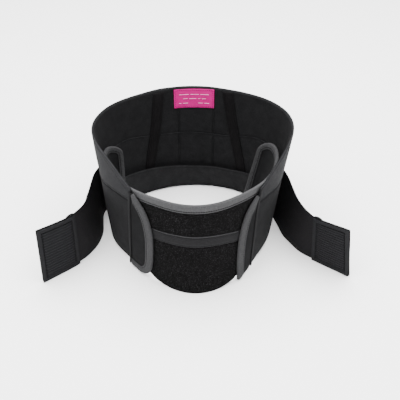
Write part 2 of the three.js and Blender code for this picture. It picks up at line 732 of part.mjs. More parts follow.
// Middle line of a side strap: round the outside of the band from its root, then free.
function strapRoute(side) {
  const { leaveAngle, rows } = strapTables[side];
  const sign = side === 'left' ? -1 : 1;
  const middle = strapLift + strapWidth / 2;
  const wallOffset = layerGap + strapCloth;
  const places = spread(strapRootAngle, leaveAngle, sewnSteps).map((angle) => {
    const low = wallPoint(sign * angle, strapLift, 0);
    const high = wallPoint(sign * angle, strapLift + strapWidth, 0);
    const lean = Math.hypot(high.x, high.y) - Math.hypot(low.x, low.y);
    return { point: wallPoint(sign * angle, middle, -wallOffset), lean };
  });
  const sewnParts = places.slice(1).map((place, i) => place.point.distanceTo(places[i].point));
  const sewn = sewnParts.reduce((total, part) => total + part, 0);
  const free = strapLength - sewn;
  for (let i = 0; i < freeSteps; i += 1) {
    const heading = radians(readTable(rows, 'share', 'heading', (i + 0.5) / freeSteps));
    const way = new THREE.Vector3(sign * Math.sin(heading), -Math.cos(heading), 0);
    const point = places[places.length - 1].point.clone().addScaledVector(way, free / freeSteps);
    places.push({ point, lean: readTable(rows, 'share', 'lean', (i + 1) / freeSteps) * strapWidth });
  }
  const curve = new THREE.CatmullRomCurve3(
    places.map(({ point, lean }) => new THREE.Vector3(point.x, point.y, lean)), false, 'centripetal',
  );
  const widthAt = (share) => {
    const freeShare = Math.max(0, (share * strapLength - sewn) / free);
    return strapWidth * readTable(rows, 'share', 'width', freeShare);
  };
  return { curve, widthAt };
}

function addStrap(side) {
  const sign = side === 'left' ? -1 : 1;
  const { curve, widthAt } = strapRoute(side);
  const tabStart = 1 - tabLength / strapLength;
  // The layers of the tab lie on the strap's inner face, one on the other.
  const layer = (across, offset, cloth, lowEdge, topEdge, rows) => {
    const surfaceAt = (u, height) => {
      const at = curve.getPointAt(THREE.MathUtils.clamp(u, 0, 1));
      const before = curve.getPointAt(THREE.MathUtils.clamp(u - probeShare, 0, 1));
      const after = curve.getPointAt(THREE.MathUtils.clamp(u + probeShare, 0, 1));
      const outward = new THREE.Vector3(before.y - after.y, after.x - before.x, 0);
      outward.normalize().multiplyScalar(sign);
      const lean = at.z * (height - strapLift - strapWidth / 2) / strapWidth;
      return new THREE.Vector3(at.x, at.y, height).addScaledVector(outward, lean - offset);
    };
    const placeAt = (u, v) => ({ along: u, height: lerp(lowEdge(u), topEdge(u), v) });
    return sheetGeometry({
      across,
      up: spread(0, 1, rows),
      placeAt,
      surfaceAt,
      thickness: -sign * cloth,
      probe: probeShare,
    });
  };
  const bare = spread(0, tabStart, bareColumns).slice(0, -1);
  const tab = spread(tabStart, 1, tabColumns);
  const low = () => strapLift;
  const top = (u) => strapLift + widthAt(u);
  const strap = layer([...bare, ...tab], 0, strapCloth, low, top, strapRows);
  addPiece(`side_strap_${side}`, strapBlack, 0.8, strap);

  const hookTop = (u) => {
    const left = Math.max(0, 1 - (u - tabStart) * strapLength / hookBumpLength);
    return top(u) + hookRise + hookBump * Math.sqrt(left);
  };
  const hookOffset = strapCloth + layerGap;
  addPiece(`hook_tab_${side}`, tabGrey, 0.9, layer(tab, hookOffset, hookCloth, low, hookTop, tabRows));
  const protectorOffset = hookOffset + hookCloth + layerGap;
  const protector = layer(tab, protectorOffset, protectorCloth, low, top, tabRows);
  addPiece(`clothing_protector_${side}`, tabGrey, 0.9, protector);
}

addBand();
addInnerHem();
addStays();
addLabel();
addFlap('left', leftFlapTable, flapSeamFoot.left, true);
addFlap('right', rightFlapTable, flapSeamFoot.right, false);
addBellyPanel();
addBellyBinding();
addBellyCovers();
addStrap('left');
addStrap('right');

// The belt stands on its foot, centred over the origin.
const box = new THREE.Box3().setFromObject(belt);
const middleOfBox = box.getCenter(new THREE.Vector3());
belt.position.set(-middleOfBox.x, -middleOfBox.y, -box.min.z);

export default belt;
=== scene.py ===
import math
import bpy
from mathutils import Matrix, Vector, noise


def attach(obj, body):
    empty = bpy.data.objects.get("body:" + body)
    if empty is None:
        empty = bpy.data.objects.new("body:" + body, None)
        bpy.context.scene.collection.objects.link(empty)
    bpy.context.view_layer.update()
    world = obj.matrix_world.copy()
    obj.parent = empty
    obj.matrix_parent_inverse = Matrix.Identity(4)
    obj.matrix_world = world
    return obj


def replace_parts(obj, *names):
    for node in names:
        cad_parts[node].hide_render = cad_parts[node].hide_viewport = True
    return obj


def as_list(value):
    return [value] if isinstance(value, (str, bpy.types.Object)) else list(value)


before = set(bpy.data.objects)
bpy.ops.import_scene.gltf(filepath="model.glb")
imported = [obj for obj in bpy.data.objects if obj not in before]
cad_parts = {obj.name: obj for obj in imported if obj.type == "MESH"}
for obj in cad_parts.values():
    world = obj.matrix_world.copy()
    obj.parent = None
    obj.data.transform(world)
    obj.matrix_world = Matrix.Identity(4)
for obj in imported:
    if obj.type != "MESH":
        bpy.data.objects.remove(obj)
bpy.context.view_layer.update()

# The ring of the belt, in millimetres, with angles in degrees from the belly toward +X.
ring = {
    "radius": 150,
    "height": 200,
    "footLift": 14,
    "middleToOrigin": (0.31, -8.81, 0),
    "gap": 0.3,
    "bandCloth": 2.5,
    "liningCloth": 1.2,
    "seatGap": 0.4,
    "foldHeight": 0.9,      # soft undulation that all layers share
    "foldWidth": 55,
}
liningDepth = ring["bandCloth"] + ring["gap"]
seatDepth = liningDepth + ring["liningCloth"] + ring["seatGap"]

# Control radii of the plan every 30 degrees from belly to back, as shares of the radius.
planRows = [
    {"leftFloor": 1.02, "rightFloor": 1.02, "rim": 0.985},
    {"leftFloor": 0.85, "rightFloor": 0.853, "rim": 0.905},
    {"leftFloor": 0.79, "rightFloor": 0.76, "rim": 0.895},
    {"leftFloor": 0.905, "rightFloor": 0.813, "rim": 1.035},
    {"leftFloor": 1.045, "rightFloor": 1.047, "rim": 1.13},
    {"leftFloor": 1.045, "rightFloor": 1.047, "rim": 1.07},
    {"leftFloor": 1.03, "rightFloor": 1.03, "rim": 1.04},
]

# Curves are rows of (place, value ...): heights are shares of the ring's height or foot lift.
rimRows = [
    (40, 0.77), (46, 0.8), (55, 0.86), (66, 0.935), (78, 0.99), (95, 1.01), (125, 1.0), (150, 0.996),
    (166, 1.007), (180, 1.009),
]
footRows = [(40, 0.65), (56, 0.85), (70, 0.6), (85, 0.2), (98, 0), (180, 0)]
seamRows = {
    "left": [(44, 0.715), (60, 0.705), (75, 0.675), (95, 0.61), (130, 0.63), (160, 0.575), (180, 0.57)],
    "right": [(44, 0.68), (60, 0.66), (75, 0.625), (95, 0.6), (130, 0.62), (160, 0.555), (180, 0.57)],
}
flapSeamRows = {
    "left": [(0.02, 58.5), (0.25, 54.5), (0.45, 51.5), (0.65, 49.0), (0.82, 46.3)],
    "right": [(0.02, 44.5), (0.25, 44.3), (0.45, 44.0), (0.65, 44.3), (0.82, 47.0)],
}


def mix(low, high, share):
    return low + (high - low) * share


def spread(first, last, steps):
    return [mix(first, last, i / steps) for i in range(steps + 1)]


def clamp(x, low, high):
    return max(low, min(high, x))


def near(distance, width):   # 1 at the line, falling to 0 a few widths away
    return math.exp(-(distance / width) ** 2)


def readRows(rows, x, column=1):   # smooth curve through the rows, which never overshoots them
    last = len(rows) - 1
    at = clamp(x, rows[0][0], rows[last][0])
    i = 0
    while i < last - 1 and at > rows[i + 1][0]:
        i += 1

    def secant(k):
        k = clamp(k, 0, last - 1)
        return (rows[k + 1][column] - rows[k][column]) / (rows[k + 1][0] - rows[k][0])

    def slope(k):
        before, after = secant(k - 1), secant(k)
        return 2 * before * after / (before + after) if before * after > 0 else 0

    span = rows[i + 1][0] - rows[i][0]
    t = (at - rows[i][0]) / span
    low, high = rows[i][column], rows[i + 1][column]
    bend = slope(i) * span * (t**3 - 2 * t**2 + t) + slope(i + 1) * span * (t**3 - t**2)
    return low * (2 * t**3 - 3 * t**2 + 1) + high * (3 * t**2 - 2 * t**3) + bend


def planRadius(angle, right, left):
    place = (angle % 360) / 30
    first = math.floor(place)
    t = place - first
    half = len(planRows) - 1
    weights = [(1 - t)**3, 3 * t**3 - 6 * t**2 + 4, -3 * t**3 + 3 * t**2 + 3 * t + 1, t**3]
    total = 0
    for i, weight in enumerate(weights):
        k = (first - 1 + i) % (2 * half)
        total += weight * (planRows[2 * half - k][left] if k > half else planRows[k][right])
    return ring["radius"] * total / 6


planSteps = 720   # the plan is worked out once every half degree
floorRadii = [planRadius(i * 360 / planSteps, "rightFloor", "leftFloor") for i in range(planSteps)]
rimRadii = [planRadius(i * 360 / planSteps, "rim", "rim") for i in range(planSteps)]


def outerPoint(angle, height):
    place = (angle % 360) * planSteps / 360
    i = int(place)
    after = (i + 1) % planSteps
    i = i % planSteps
    t = place - int(place)
    floorRadius = mix(floorRadii[i], floorRadii[after], t)
    radius = mix(floorRadius, mix(rimRadii[i], rimRadii[after], t), height / ring["height"])
    turn = math.radians(angle)
    x, y = math.sin(turn), -math.cos(turn)
    fold = noise.noise(Vector((x * radius, y * radius, height * 0.8)) / ring["foldWidth"])
    radius += ring["foldHeight"] * fold
    return Vector((radius * x, radius * y, height))


def inwardAt(surface, along, height, probe=0.5):
    way = surface(along + probe, height) - surface(along - probe, height)
    return Vector((-way.y, way.x, 0)).normalized()


def wall(depth):   # surface at a depth inside the band's outer face
    return lambda angle, height: outerPoint(angle, height) + inwardAt(outerPoint, angle, height) * depth


def sideOf(angle):
    turn = (angle + 180) % 360 - 180
    return abs(turn), "left" if turn < 0 else "right"


def rimHeight(angle):
    return ring["height"] * readRows(rimRows, sideOf(angle)[0])


def footHeight(angle):
    return ring["footLift"] * readRows(footRows, sideOf(angle)[0])


def seamHeight(angle):
    turn, side = sideOf(angle)
    return ring["height"] * readRows(seamRows[side], turn)


def flapSeamAngle(side, height):
    return readRows(flapSeamRows[side], height / ring["height"])


def degrees(length):   # degrees round the ring that a length in millimetres covers
    return math.degrees(length / ring["radius"])


def boxSides(left, low, right, top, steps):   # the four sides of a rectangle, each as a list of places
    corners = [(left, low), (right, low), (right, top), (left, top), (left, low)]
    return [[(mix(a, c, t), mix(b, d, t)) for t in spread(0, 1, steps)]
            for (a, b), (c, d) in zip(corners, corners[1:])]


def metres(point):   # from the ring's middle in millimetres to the frame in metres
    return (point + Vector(ring["middleToOrigin"])) / 1000


# Camera


camera = {
    "place": (-0.0354, -0.9572, 0.7653),
    "aim": (0.0110, 0.0125, 0.0600),
    "lens": 64.8,
    "sensor": 36,
}


def addObject(name, data):
    made = bpy.data.objects.new(name, data)
    bpy.context.collection.objects.link(made)
    return made


def aimFrom(thing, place, aim):   # puts a camera or lamp at a place and points it at another
    thing.location = place
    thing.rotation_euler = (Vector(aim) - Vector(place)).to_track_quat("-Z", "Y").to_euler()


def addCamera():
    data = bpy.data.cameras.new("camera")
    data.lens = camera["lens"]
    data.sensor_width = camera["sensor"]
    data.clip_start = 0.01
    eye = addObject("camera", data)
    aimFrom(eye, camera["place"], camera["aim"])
    bpy.context.scene.camera = eye


addCamera()
print("camera placed")


# Materials


def linear(code):   # sRGB hex to linear colour
    parts = [int(code[i:i + 2], 16) / 255 for i in (1, 3, 5)]
    return [c / 12.92 if c <= 0.04045 else ((c + 0.055) / 1.055) ** 2.4 for c in parts] + [1]


def addNode(tree, kind, settings=None, links=None):
    node = tree.nodes.new(kind)
    for name, value in (settings or {}).items():
        if name == "stops":
            while len(node.color_ramp.elements) < len(value):
                node.color_ramp.elements.new(0.5)
            for element, (position, code) in zip(node.color_ramp.elements, value):
                element.position = position
                element.color = linear(code)
        elif isinstance(name, str) and hasattr(node, name):
            setattr(node, name, value)
        else:
            node.inputs[name].default_value = value
    for name, source in (links or {}).items():
        tree.links.new(source, node.inputs[name])
    return node


def newCloth(name, roughness, sheen, sheenRoughness=0.5, shine=0.25):
    material = bpy.data.materials.new(name)
    material.use_nodes = True
    tree = material.node_tree
    tree.nodes.clear()
    shader = addNode(tree, "ShaderNodeBsdfPrincipled", {
        "Roughness": roughness,
        "Sheen Weight": sheen,
        "Sheen Roughness": sheenRoughness,
        "Specular IOR Level": shine,
    })
    addNode(tree, "ShaderNodeOutputMaterial", None, {"Surface": shader.outputs["BSDF"]})
    return material, tree, shader


def grain(tree, millimetres, detail=2):   # cloudy pattern with grains of this size
    place = addNode(tree, "ShaderNodeTexCoord")
    settings = {"Scale": 1000 / millimetres, "Detail": detail, "Roughness": 0.6}
    return addNode(tree, "ShaderNodeTexNoise", settings, {"Vector": place.outputs["Object"]}).outputs["Fac"]


def ribs(tree, millimetres, alongLength):   # even ribs of this spacing, read from the cloth's own map
    place = addNode(tree, "ShaderNodeUVMap", {"uv_map": "cloth"})
    parts = addNode(tree, "ShaderNodeSeparateXYZ", None, {"Vector": place.outputs["UV"]})
    across = parts.outputs["Y" if alongLength else "X"]
    turns = addNode(tree, "ShaderNodeMath", {
        "operation": "MULTIPLY", 1: 2000 * math.pi / millimetres}, {0: across})
    wave = addNode(tree, "ShaderNodeMath", {"operation": "SINE"}, {0: turns.outputs[0]})
    raised = addNode(tree, "ShaderNodeMath", {"operation": "MULTIPLY_ADD", 1: 0.5, 2: 0.5}, {
        0: wave.outputs[0]})
    return raised.outputs[0]


def blend(tree, first, second, share):
    rest = addNode(tree, "ShaderNodeMath", {"operation": "MULTIPLY", 1: 1 - share}, {0: first})
    both = addNode(tree, "ShaderNodeMath", {"operation": "MULTIPLY_ADD", 1: share}, {
        0: second, 2: rest.outputs[0]})
    return both.outputs[0]


def dye(tree, shader, pattern, stops, relief, height):
    color = addNode(tree, "ShaderNodeValToRGB", {"stops": stops}, {"Fac": pattern})
    tree.links.new(color.outputs["Color"], shader.inputs["Base Color"])
    bump = addNode(tree, "ShaderNodeBump", {"Strength": 0.6, "Distance": height / 1000}, {"Height": relief})
    tree.links.new(bump.outputs["Normal"], shader.inputs["Normal"])


def neopreneLaminate(name, dark, light):
    # Foam faced with a brushed knit: matt, with a fine fuzzy mottle and a soft pale bloom at its edges.
    material, tree, shader = newCloth(name, 0.9, 0.004, 0.5, 0.05)
    fuzz = grain(tree, 1.7)
    mottle = grain(tree, 14, 1)
    dye(tree, shader, blend(tree, fuzz, mottle, 0.35), [(0.32, dark), (0.68, light)], fuzz, 0.35)
    return material


def brushedLoopKnit():
    # Loops raised for the hooks to hold: almost black, with pale flecks where loops catch the light.
    material, tree, shader = newCloth("brushed loop knit", 0.95, 0.0, 0.6, 0.03)
    loops = grain(tree, 1.35, 2)
    stops = [(0.40, "#040404"), (0.56, "#0a0a0a"), (0.76, "#2f2e30")]
    dye(tree, shader, loops, stops, loops, 0.6)
    return material


def wovenElastic(name, dark, light, ribSpacing):
    # Rubber cords covered with yarn: fine ribs along the strap, with a broken sparkle from the yarn.
    material, tree, shader = newCloth(name, 0.8, 0.004, 0.5, 0.06)
    cords = ribs(tree, ribSpacing, True)
    yarn = grain(tree, 1.3, 3)
    pattern = blend(tree, yarn, cords, 0.3)
    dye(tree, shader, pattern, [(0.3, dark), (0.7, light)], pattern, 0.4)
    return material


def foldedTape(name, darkest, dark, light):
    # Knitted edging folded over the cloth: small ribs across its width, lighter on their crowns.
    material, tree, shader = newCloth(name, 0.85, 0.01, 0.5, 0.08)
    yarns = ribs(tree, 1.8, False)
    yarn = grain(tree, 1.2)
    pattern = blend(tree, yarn, yarns, 0.06)
    place = addNode(tree, "ShaderNodeTexCoord")
    parts = addNode(tree, "ShaderNodeSeparateXYZ", None, {"Vector": place.outputs["Object"]})
    # Painted shade: from 85 to 55 mm in front of the middle, where the tape turns inward, its colour is
    # darkened by up to 0.22 of the ramp for the shade it lies in.
    shadeLimits = {1: -0.085, 2: -0.055, 3: 0.0, 4: 0.22}
    inside = addNode(tree, "ShaderNodeMapRange", shadeLimits, {0: parts.outputs["Y"]})
    shaded = addNode(tree, "ShaderNodeMath", {"operation": "SUBTRACT"}, {0: pattern, 1: inside.outputs[0]})
    dye(tree, shader, shaded.outputs[0], [(0.1, darkest), (0.3, dark), (0.7, light)], pattern, 0.15)
    return material


def hookTape():
    # Rows of tiny nylon hooks on a woven ground: rough, dark and slightly glinting.
    material, tree, shader = newCloth("nylon hook tape", 0.7, 0.0, 0.5, 0.1)
    place = addNode(tree, "ShaderNodeTexCoord")
    cells = addNode(tree, "ShaderNodeTexVoronoi", {"Scale": 1000 / 1.6}, {"Vector": place.outputs["Object"]})
    hooks = cells.outputs["Distance"]
    dye(tree, shader, hooks, [(0.0, "#1e1e20"), (0.6, "#0b0b0c")], hooks, 0.6)
    return material


def satinWeave():
    # Woven satin: long floats that shine in one direction, with a fine line across it.
    material, tree, shader = newCloth("pink satin weave", 0.6, 0.0, 0.3, 0.05)
    floats = ribs(tree, 1.2, True)
    cloud = grain(tree, 6, 1)
    pattern = blend(tree, cloud, floats, 0.35)
    dye(tree, shader, pattern, [(0.25, "#a60060"), (0.75, "#b80a76")], pattern, 0.12)
    return material


def sewingThread(name, code):
    # Spun polyester thread: matt, with a slight change of tone from stitch to stitch.
    material, tree, shader = newCloth(name, 0.8, 0.0, 0.5, 0.06)
    twist = grain(tree, 5, 1)
    dye(tree, shader, twist, [(0.3, code), (0.7, code)], twist, 0.05)
    return material


cloths = {
    "upper": neopreneLaminate("neoprene laminate, mid grey", "#18181a", "#272728"),
    "lower": neopreneLaminate("neoprene laminate, dark grey", "#0f0f10", "#1b1b1c"),
    "flap": neopreneLaminate("neoprene laminate, charcoal", "#0b0b0c", "#151516"),
    "lining": neopreneLaminate("brushed lining jersey", "#101011", "#1b1b1c"),
    "hem": neopreneLaminate("hem jersey, grey", "#151516", "#222223"),
    "stay": neopreneLaminate("stay channel jersey", "#0a090a", "#121112"),
    "loop": brushedLoopKnit(),
    "strap": wovenElastic("woven elastic, black", "#070607", "#1c1b1d", 2.0),
    "midBand": wovenElastic("woven elastic, grey", "#0f0f10", "#1c1c1d", 2.4),
    "protector": wovenElastic("ribbed elastic, charcoal", "#0f0f10", "#1e1e20", 1.3),
    "rib": wovenElastic("rib yarn, charcoal", "#131314", "#222224", 1.3),
    "binding": foldedTape("folded knit tape, grey", "#1c1c1d", "#2c2c2d", "#434344"),
    "sideBinding": foldedTape("folded knit tape, dark grey", "#161617", "#232324", "#363637"),
    "tape": foldedTape("narrow knit tape, dark grey", "#0c0c0d", "#101011", "#1a1a1b"),
    "hook": hookTape(),
    "label": satinWeave(),
    "darkThread": sewingThread("polyester thread, black", "#0b0b0c"),
    "paleThread": sewingThread("polyester thread, pale pink", "#d98ab2"),
}
print("materials mixed")


# Cloth and tape makers


def meshPiece(name, points, faces, maps, material):
    volume = 0
    for face in faces:
        a = points[face[0]]
        for i in range(1, len(face) - 1):
            volume += a.dot(points[face[i]].cross(points[face[i + 1]]))
    if volume < 0:
        faces = [face[::-1] for face in faces]
    mesh = bpy.data.meshes.new(name)
    mesh.from_pydata([metres(point) for point in points], [], faces)
    layer = mesh.uv_layers.new(name="cloth")
    for corner, loop in enumerate(mesh.loops):
        layer.data[corner].uv = maps[loop.vertex_index]
    for polygon in mesh.polygons:
        polygon.use_smooth = True
    mesh.materials.append(material)
    return addObject(name, mesh)


def noRelief(u, v, along, height):
    return 0, 0


def flatSize(flat, columns, rows):   # width, length and area of a grid of points laid flat
    area = 0
    for j in range(rows - 1):
        for i in range(columns - 1):
            k = j * columns + i
            area += (flat[k + columns + 1] - flat[k]).cross(flat[k + columns] - flat[k + 1]).length / 2
    tall = max((flat[(rows - 1) * columns + i] - flat[i]).length for i in range(columns))
    wide = max(sum((flat[j * columns + i + 1] - flat[j * columns + i]).length for i in range(columns - 1))
               for j in (0, rows // 2, rows - 1))
    return wide / 1000, tall / 1000, area / 1e6


def layOut(across, up, placeAt, surface, cloth, relief, probe, hand):
    # The points of a sheet's outer and inner face, and of the face before its relief.
    outer, inner, flat = [], [], []
    for v in up:
        for u in across:
            along, height = placeAt(u, v)
            inward = inwardAt(surface, along, height, probe) * hand
            point = surface(along, height)
            raised, sunk = relief(u, v, along, height)
            flat.append(point)
            outer.append(point - inward * raised)
            inner.append(point + inward * (cloth + sunk))
    return outer, inner, flat


def roundEdge(outer, inner, flat, columns, rows, bulge):
    # The places round a sheet's edge, and three rows of points that round it from face to face.
    edge = list(range(columns - 1)) + [j * columns + columns - 1 for j in range(rows - 1)]
    edge += [(rows - 1) * columns + i for i in range(columns - 1, 0, -1)]
    edge += [j * columns for j in range(rows - 1, 0, -1)]
    rims = []
    for share in (0.22, 0.5, 0.78):
        swell = bulge * math.sqrt(1 - (2 * share - 1) ** 2)
        for k in edge:
            back = clamp(k // columns, 1, rows - 2) * columns + clamp(k % columns, 1, columns - 2)
            away = (flat[k] - flat[back]).normalized()
            rims.append(outer[k].lerp(inner[k], share) + away * swell)
    return edge, rims


def clothPiece(name, material, across, up, placeAt, surface, cloth, relief=noRelief, probe=0.5, hand=1):
    # A sheet with rounded edges. relief raises its outer and its inner face, in millimetres.
    columns, rows = len(across), len(up)
    outer, inner, flat = layOut(across, up, placeAt, surface, cloth, relief, probe, hand)
    edge, rims = roundEdge(outer, inner, flat, columns, rows, min(cloth * 0.3, 0.6))
    middle = rows // 2 * columns
    arc = [0]
    for i in range(1, columns):
        arc.append(arc[-1] + (flat[middle + i] - flat[middle + i - 1]).length)
    maps = [(arc[k % columns] / 1000, flat[k].z / 1000) for k in range(len(flat))]
    faces = []
    moved = len(flat)
    for j in range(rows - 1):
        for i in range(columns - 1):
            k = j * columns + i
            faces.append((k, k + 1, k + columns + 1, k + columns))
            faces.append((moved + k, moved + k + columns, moved + k + columns + 1, moved + k + 1))
    count = len(edge)
    starts = range(2 * moved, 2 * moved + len(rims), count)
    loops = [edge] + [[start + i for i in range(count)] for start in starts] + [[moved + k for k in edge]]
    for first, second in zip(loops, loops[1:]):
        for i in range(count):
            n = (i + 1) % count
            faces.append((first[i], second[i], second[n], first[n]))
    flatSize(flat, columns, rows)
    allMaps = maps * 2 + [maps[k] for k in edge] * len(starts)
    return meshPiece(name, outer + inner + rims, faces, allMaps, material)


edging = {
    "groove": 2.8,      # distance of the stitch groove from the tape's inner edge
    "grooveDepth": 0.8,
    "clear": 0.5,       # between the cloth's face and the tape
    "cloth": 1,
    "crest": 1.5,       # how far the fold stands out past the cloth's edge
}


def edgeFrame(station, pathAt, surface, hand, reach):
    # Where a cloth's edge is, how long a degree is there, and the way into the cloth.
    angle, height = pathAt(station)
    perDegree = (surface(angle + 0.5, height) - surface(angle - 0.5, height)).length
    ahead, behind = pathAt(station + reach), pathAt(station - reach)
    way = Vector(((ahead[0] - behind[0]) * perDegree, ahead[1] - behind[1])).normalized()
    return angle, height, perDegree, Vector((-way.y * hand, way.x * hand))


def groovePlaces(stations, pathAt, surface, widthAt, hand, reach):   # the line stitched in the tape's groove
    places = []
    for station in stations:
        angle, height, perDegree, into = edgeFrame(station, pathAt, surface, hand, reach)
        width = widthAt(station) - edging["groove"]
        places.append((angle + into.x * width / perDegree, height + into.y * width))
    return places


def bindingSection(width, inner, outer, puff):
    # One turn of the folded tape: x runs into the cloth from its edge, y through its thickness.
    groove = min(edging["groove"], width * 0.25)
    crest = -edging["crest"]
    front = [
        (width, inner), (width + 0.1, (inner + outer) / 2), (width - groove * 0.35, outer + 0.1),
        (width - groove, outer - edging["grooveDepth"]), (width - groove * 1.6, outer + puff * 0.7),
        (width * 0.5, outer + puff), (width * 0.2, outer + puff * 0.8), (0, outer),
        (crest * 0.7, outer * 0.72),
    ]
    back = [(x, -y if y <= outer else -outer) for x, y in reversed(front)]
    hollow = [(width * 0.5, -inner), (-0.5, -inner), (-0.5, inner), (width * 0.5, inner)]
    return front + [(crest - 0.1, 0)] + back + hollow


def bindingPiece(name, material, stations, pathAt, surface, widthAt, cloth, hand, puff=0.35, reach=0.02):
    inner = cloth / 2 + edging["clear"]
    outer = inner + edging["cloth"]
    points, maps = [], []
    run, before = 0, None
    for station in stations:
        angle, height, perDegree, into = edgeFrame(station, pathAt, surface, hand, reach)
        centre = surface(angle, height)
        run += (centre - before).length if before else 0
        before = centre
        section = bindingSection(widthAt(station), inner, outer, puff)
        for i, (x, y) in enumerate(section):
            a = angle + into.x * x / perDegree
            h = height + into.y * x
            points.append(surface(a, h) + inwardAt(surface, a, h) * (cloth / 2 - y))
            maps.append((run / 1000, i * 1.3 / 1000))
    count = len(section)
    faces = []
    for j in range(len(stations) - 1):
        for i in range(count):
            a, b = j * count + i, j * count + (i + 1) % count
            faces.append((a, b, b + count, a + count))
    last = (len(stations) - 1) * count
    faces.append(tuple(range(count))[::-1])
    faces.append(tuple(last + i for i in range(count)))
    long, wide = run / 1000, (2 * max(widthAt(s) for s in stations) + 4) / 1000
    return meshPiece(name, points, faces, maps, material)


def tapePath(points):   # evenly read path: its point at a length along it
    lengths = [0]
    for a, b in zip(points, points[1:]):
        lengths.append(lengths[-1] + (b - a).length)

    def at(length):
        length = clamp(length, 0, lengths[-1])
        low, high = 0, len(points) - 1
        while high - low > 1:
            middle = (low + high) // 2
            low, high = (middle, high) if lengths[middle] <= length else (low, middle)
        span = lengths[high] - lengths[low]
        return points[low].lerp(points[high], (length - lengths[low]) / span if span else 0)

    return at, lengths[-1]


# Stitches and beads that follow a path, made by Geometry Nodes


thread = {
    "spacing": 3.6,      # real stitches are about 3 mm apart; these are a little coarser, to show
    "length": 2.5,
    "thickness": 0.75,
}


def newTree(name, numbers):
    tree = bpy.data.node_groups.new(name, "GeometryNodeTree")
    tree.interface.new_socket("Geometry", in_out="INPUT", socket_type="NodeSocketGeometry")
    for number in numbers:
        tree.interface.new_socket(number, in_out="INPUT", socket_type="NodeSocketFloat")
    tree.interface.new_socket("Material", in_out="INPUT", socket_type="NodeSocketMaterial")
    tree.interface.new_socket("Geometry", in_out="OUTPUT", socket_type="NodeSocketGeometry")
    entry = addNode(tree, "NodeGroupInput")
    path = addNode(tree, "GeometryNodeMeshToCurve", None, {"Mesh": entry.outputs["Geometry"]})
    return tree, entry, path


def endTree(tree, entry, geometry):
    real = addNode(tree, "GeometryNodeRealizeInstances", None, {"Geometry": geometry})
    smooth = addNode(tree, "GeometryNodeSetShadeSmooth", None, {0: real.outputs["Geometry"]})
    dyed = addNode(tree, "GeometryNodeSetMaterial", None, {
        "Geometry": smooth.outputs[0], "Material": entry.outputs["Material"]})
    addNode(tree, "NodeGroupOutput", None, {"Geometry": dyed.outputs["Geometry"]})
    return tree


def stitchTree():
    tree, entry, path = newTree("stitches along a path", ["Spacing", "Length", "Thickness"])
    places = addNode(tree, "GeometryNodeCurveToPoints", {"mode": "LENGTH"}, {
        "Curve": path.outputs["Curve"], "Length": entry.outputs["Spacing"]})
    size = addNode(tree, "ShaderNodeCombineXYZ", None, {
        "X": entry.outputs["Thickness"], "Y": entry.outputs["Thickness"], "Z": entry.outputs["Length"]})
    ball = addNode(tree, "GeometryNodeMeshUVSphere", {"Segments": 6, "Rings": 4, "Radius": 0.5})
    turn = addNode(tree, "FunctionNodeAlignRotationToVector", {"axis": "Z"}, {
        "Vector": places.outputs["Tangent"]})
    stitches = addNode(tree, "GeometryNodeInstanceOnPoints", None, {
        "Points": places.outputs["Points"], "Instance": ball.outputs["Mesh"],
        "Rotation": turn.outputs["Rotation"], "Scale": size.outputs["Vector"]})
    return endTree(tree, entry, stitches.outputs["Instances"])


def beadTree():
    tree, entry, path = newTree("bead along a path", ["Radius"])
    profile = addNode(tree, "GeometryNodeCurvePrimitiveCircle", {"Resolution": 6}, {
        "Radius": entry.outputs["Radius"]})
    bead = addNode(tree, "GeometryNodeCurveToMesh", {"Fill Caps": True}, {
        "Curve": path.outputs["Curve"], "Profile Curve": profile.outputs["Curve"]})
    return endTree(tree, entry, bead.outputs["Mesh"])


trees = {"stitches": stitchTree(), "bead": beadTree()}


def trim(piece):
    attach(piece, "root")
    return piece


def alongPaths(name, tree, paths, material, values):
    points, edges = [], []
    for path in paths:
        start = len(points)
        points += [metres(point) for point in path]
        edges += [(start + i, start + i + 1) for i in range(len(path) - 1)]
    mesh = bpy.data.meshes.new(name + "_path")
    mesh.from_pydata(points, edges, [])
    guide = addObject(name + "_path", mesh)
    modifier = guide.modifiers.new("maker", "NODES")
    modifier.node_group = trees[tree]
    for item in trees[tree].interface.items_tree:
        if item.in_out == "INPUT" and item.name in values:
            modifier[item.identifier] = values[item.name] / 1000
        elif item.in_out == "INPUT" and item.name == "Material":
            modifier[item.identifier] = material
    ready = guide.evaluated_get(bpy.context.evaluated_depsgraph_get())
    made = bpy.data.meshes.new_from_object(ready)
    made.name = name
    piece = addObject(name, made)
    bpy.data.objects.remove(guide)
    return trim(piece)


def stitchRows(name, paths, spacing=thread["spacing"], length=thread["length"],
               thickness=thread["thickness"]):
    values = {"Spacing": spacing, "Length": length, "Thickness": thickness}
    return alongPaths(name, "stitches", paths, cloths["darkThread"], values)


def beadRows(name, paths, material, radius):
    return alongPaths(name, "bead", paths, cloths[material], {"Radius": radius})


def wear(piece, node, trims=()):
    # Hangs a finished piece on the belt, with the node it stands for.
    trim(piece)
    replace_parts(piece, node)
    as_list(trims)


def pathOn(surface, places, lift=0.0):   # points on a surface, raised outward by lift
    return [surface(a, h) - inwardAt(surface, a, h) * lift for a, h in places]


def follow(surface, around, heightAt, rise, lift=0.0):   # a line that keeps this far above a curve
    return pathOn(surface, [(a, heightAt(a) + rise) for a in around], lift)


# Band: outer laminate and lining, each in an upper and a lower panel


band = {
    "columns": 210, "lowerRows": 26, "upperRows": 18, "around": 730, "seamSink": 0.7, "seamWidth": 3.0,
    "insideInset": 1.5,
}


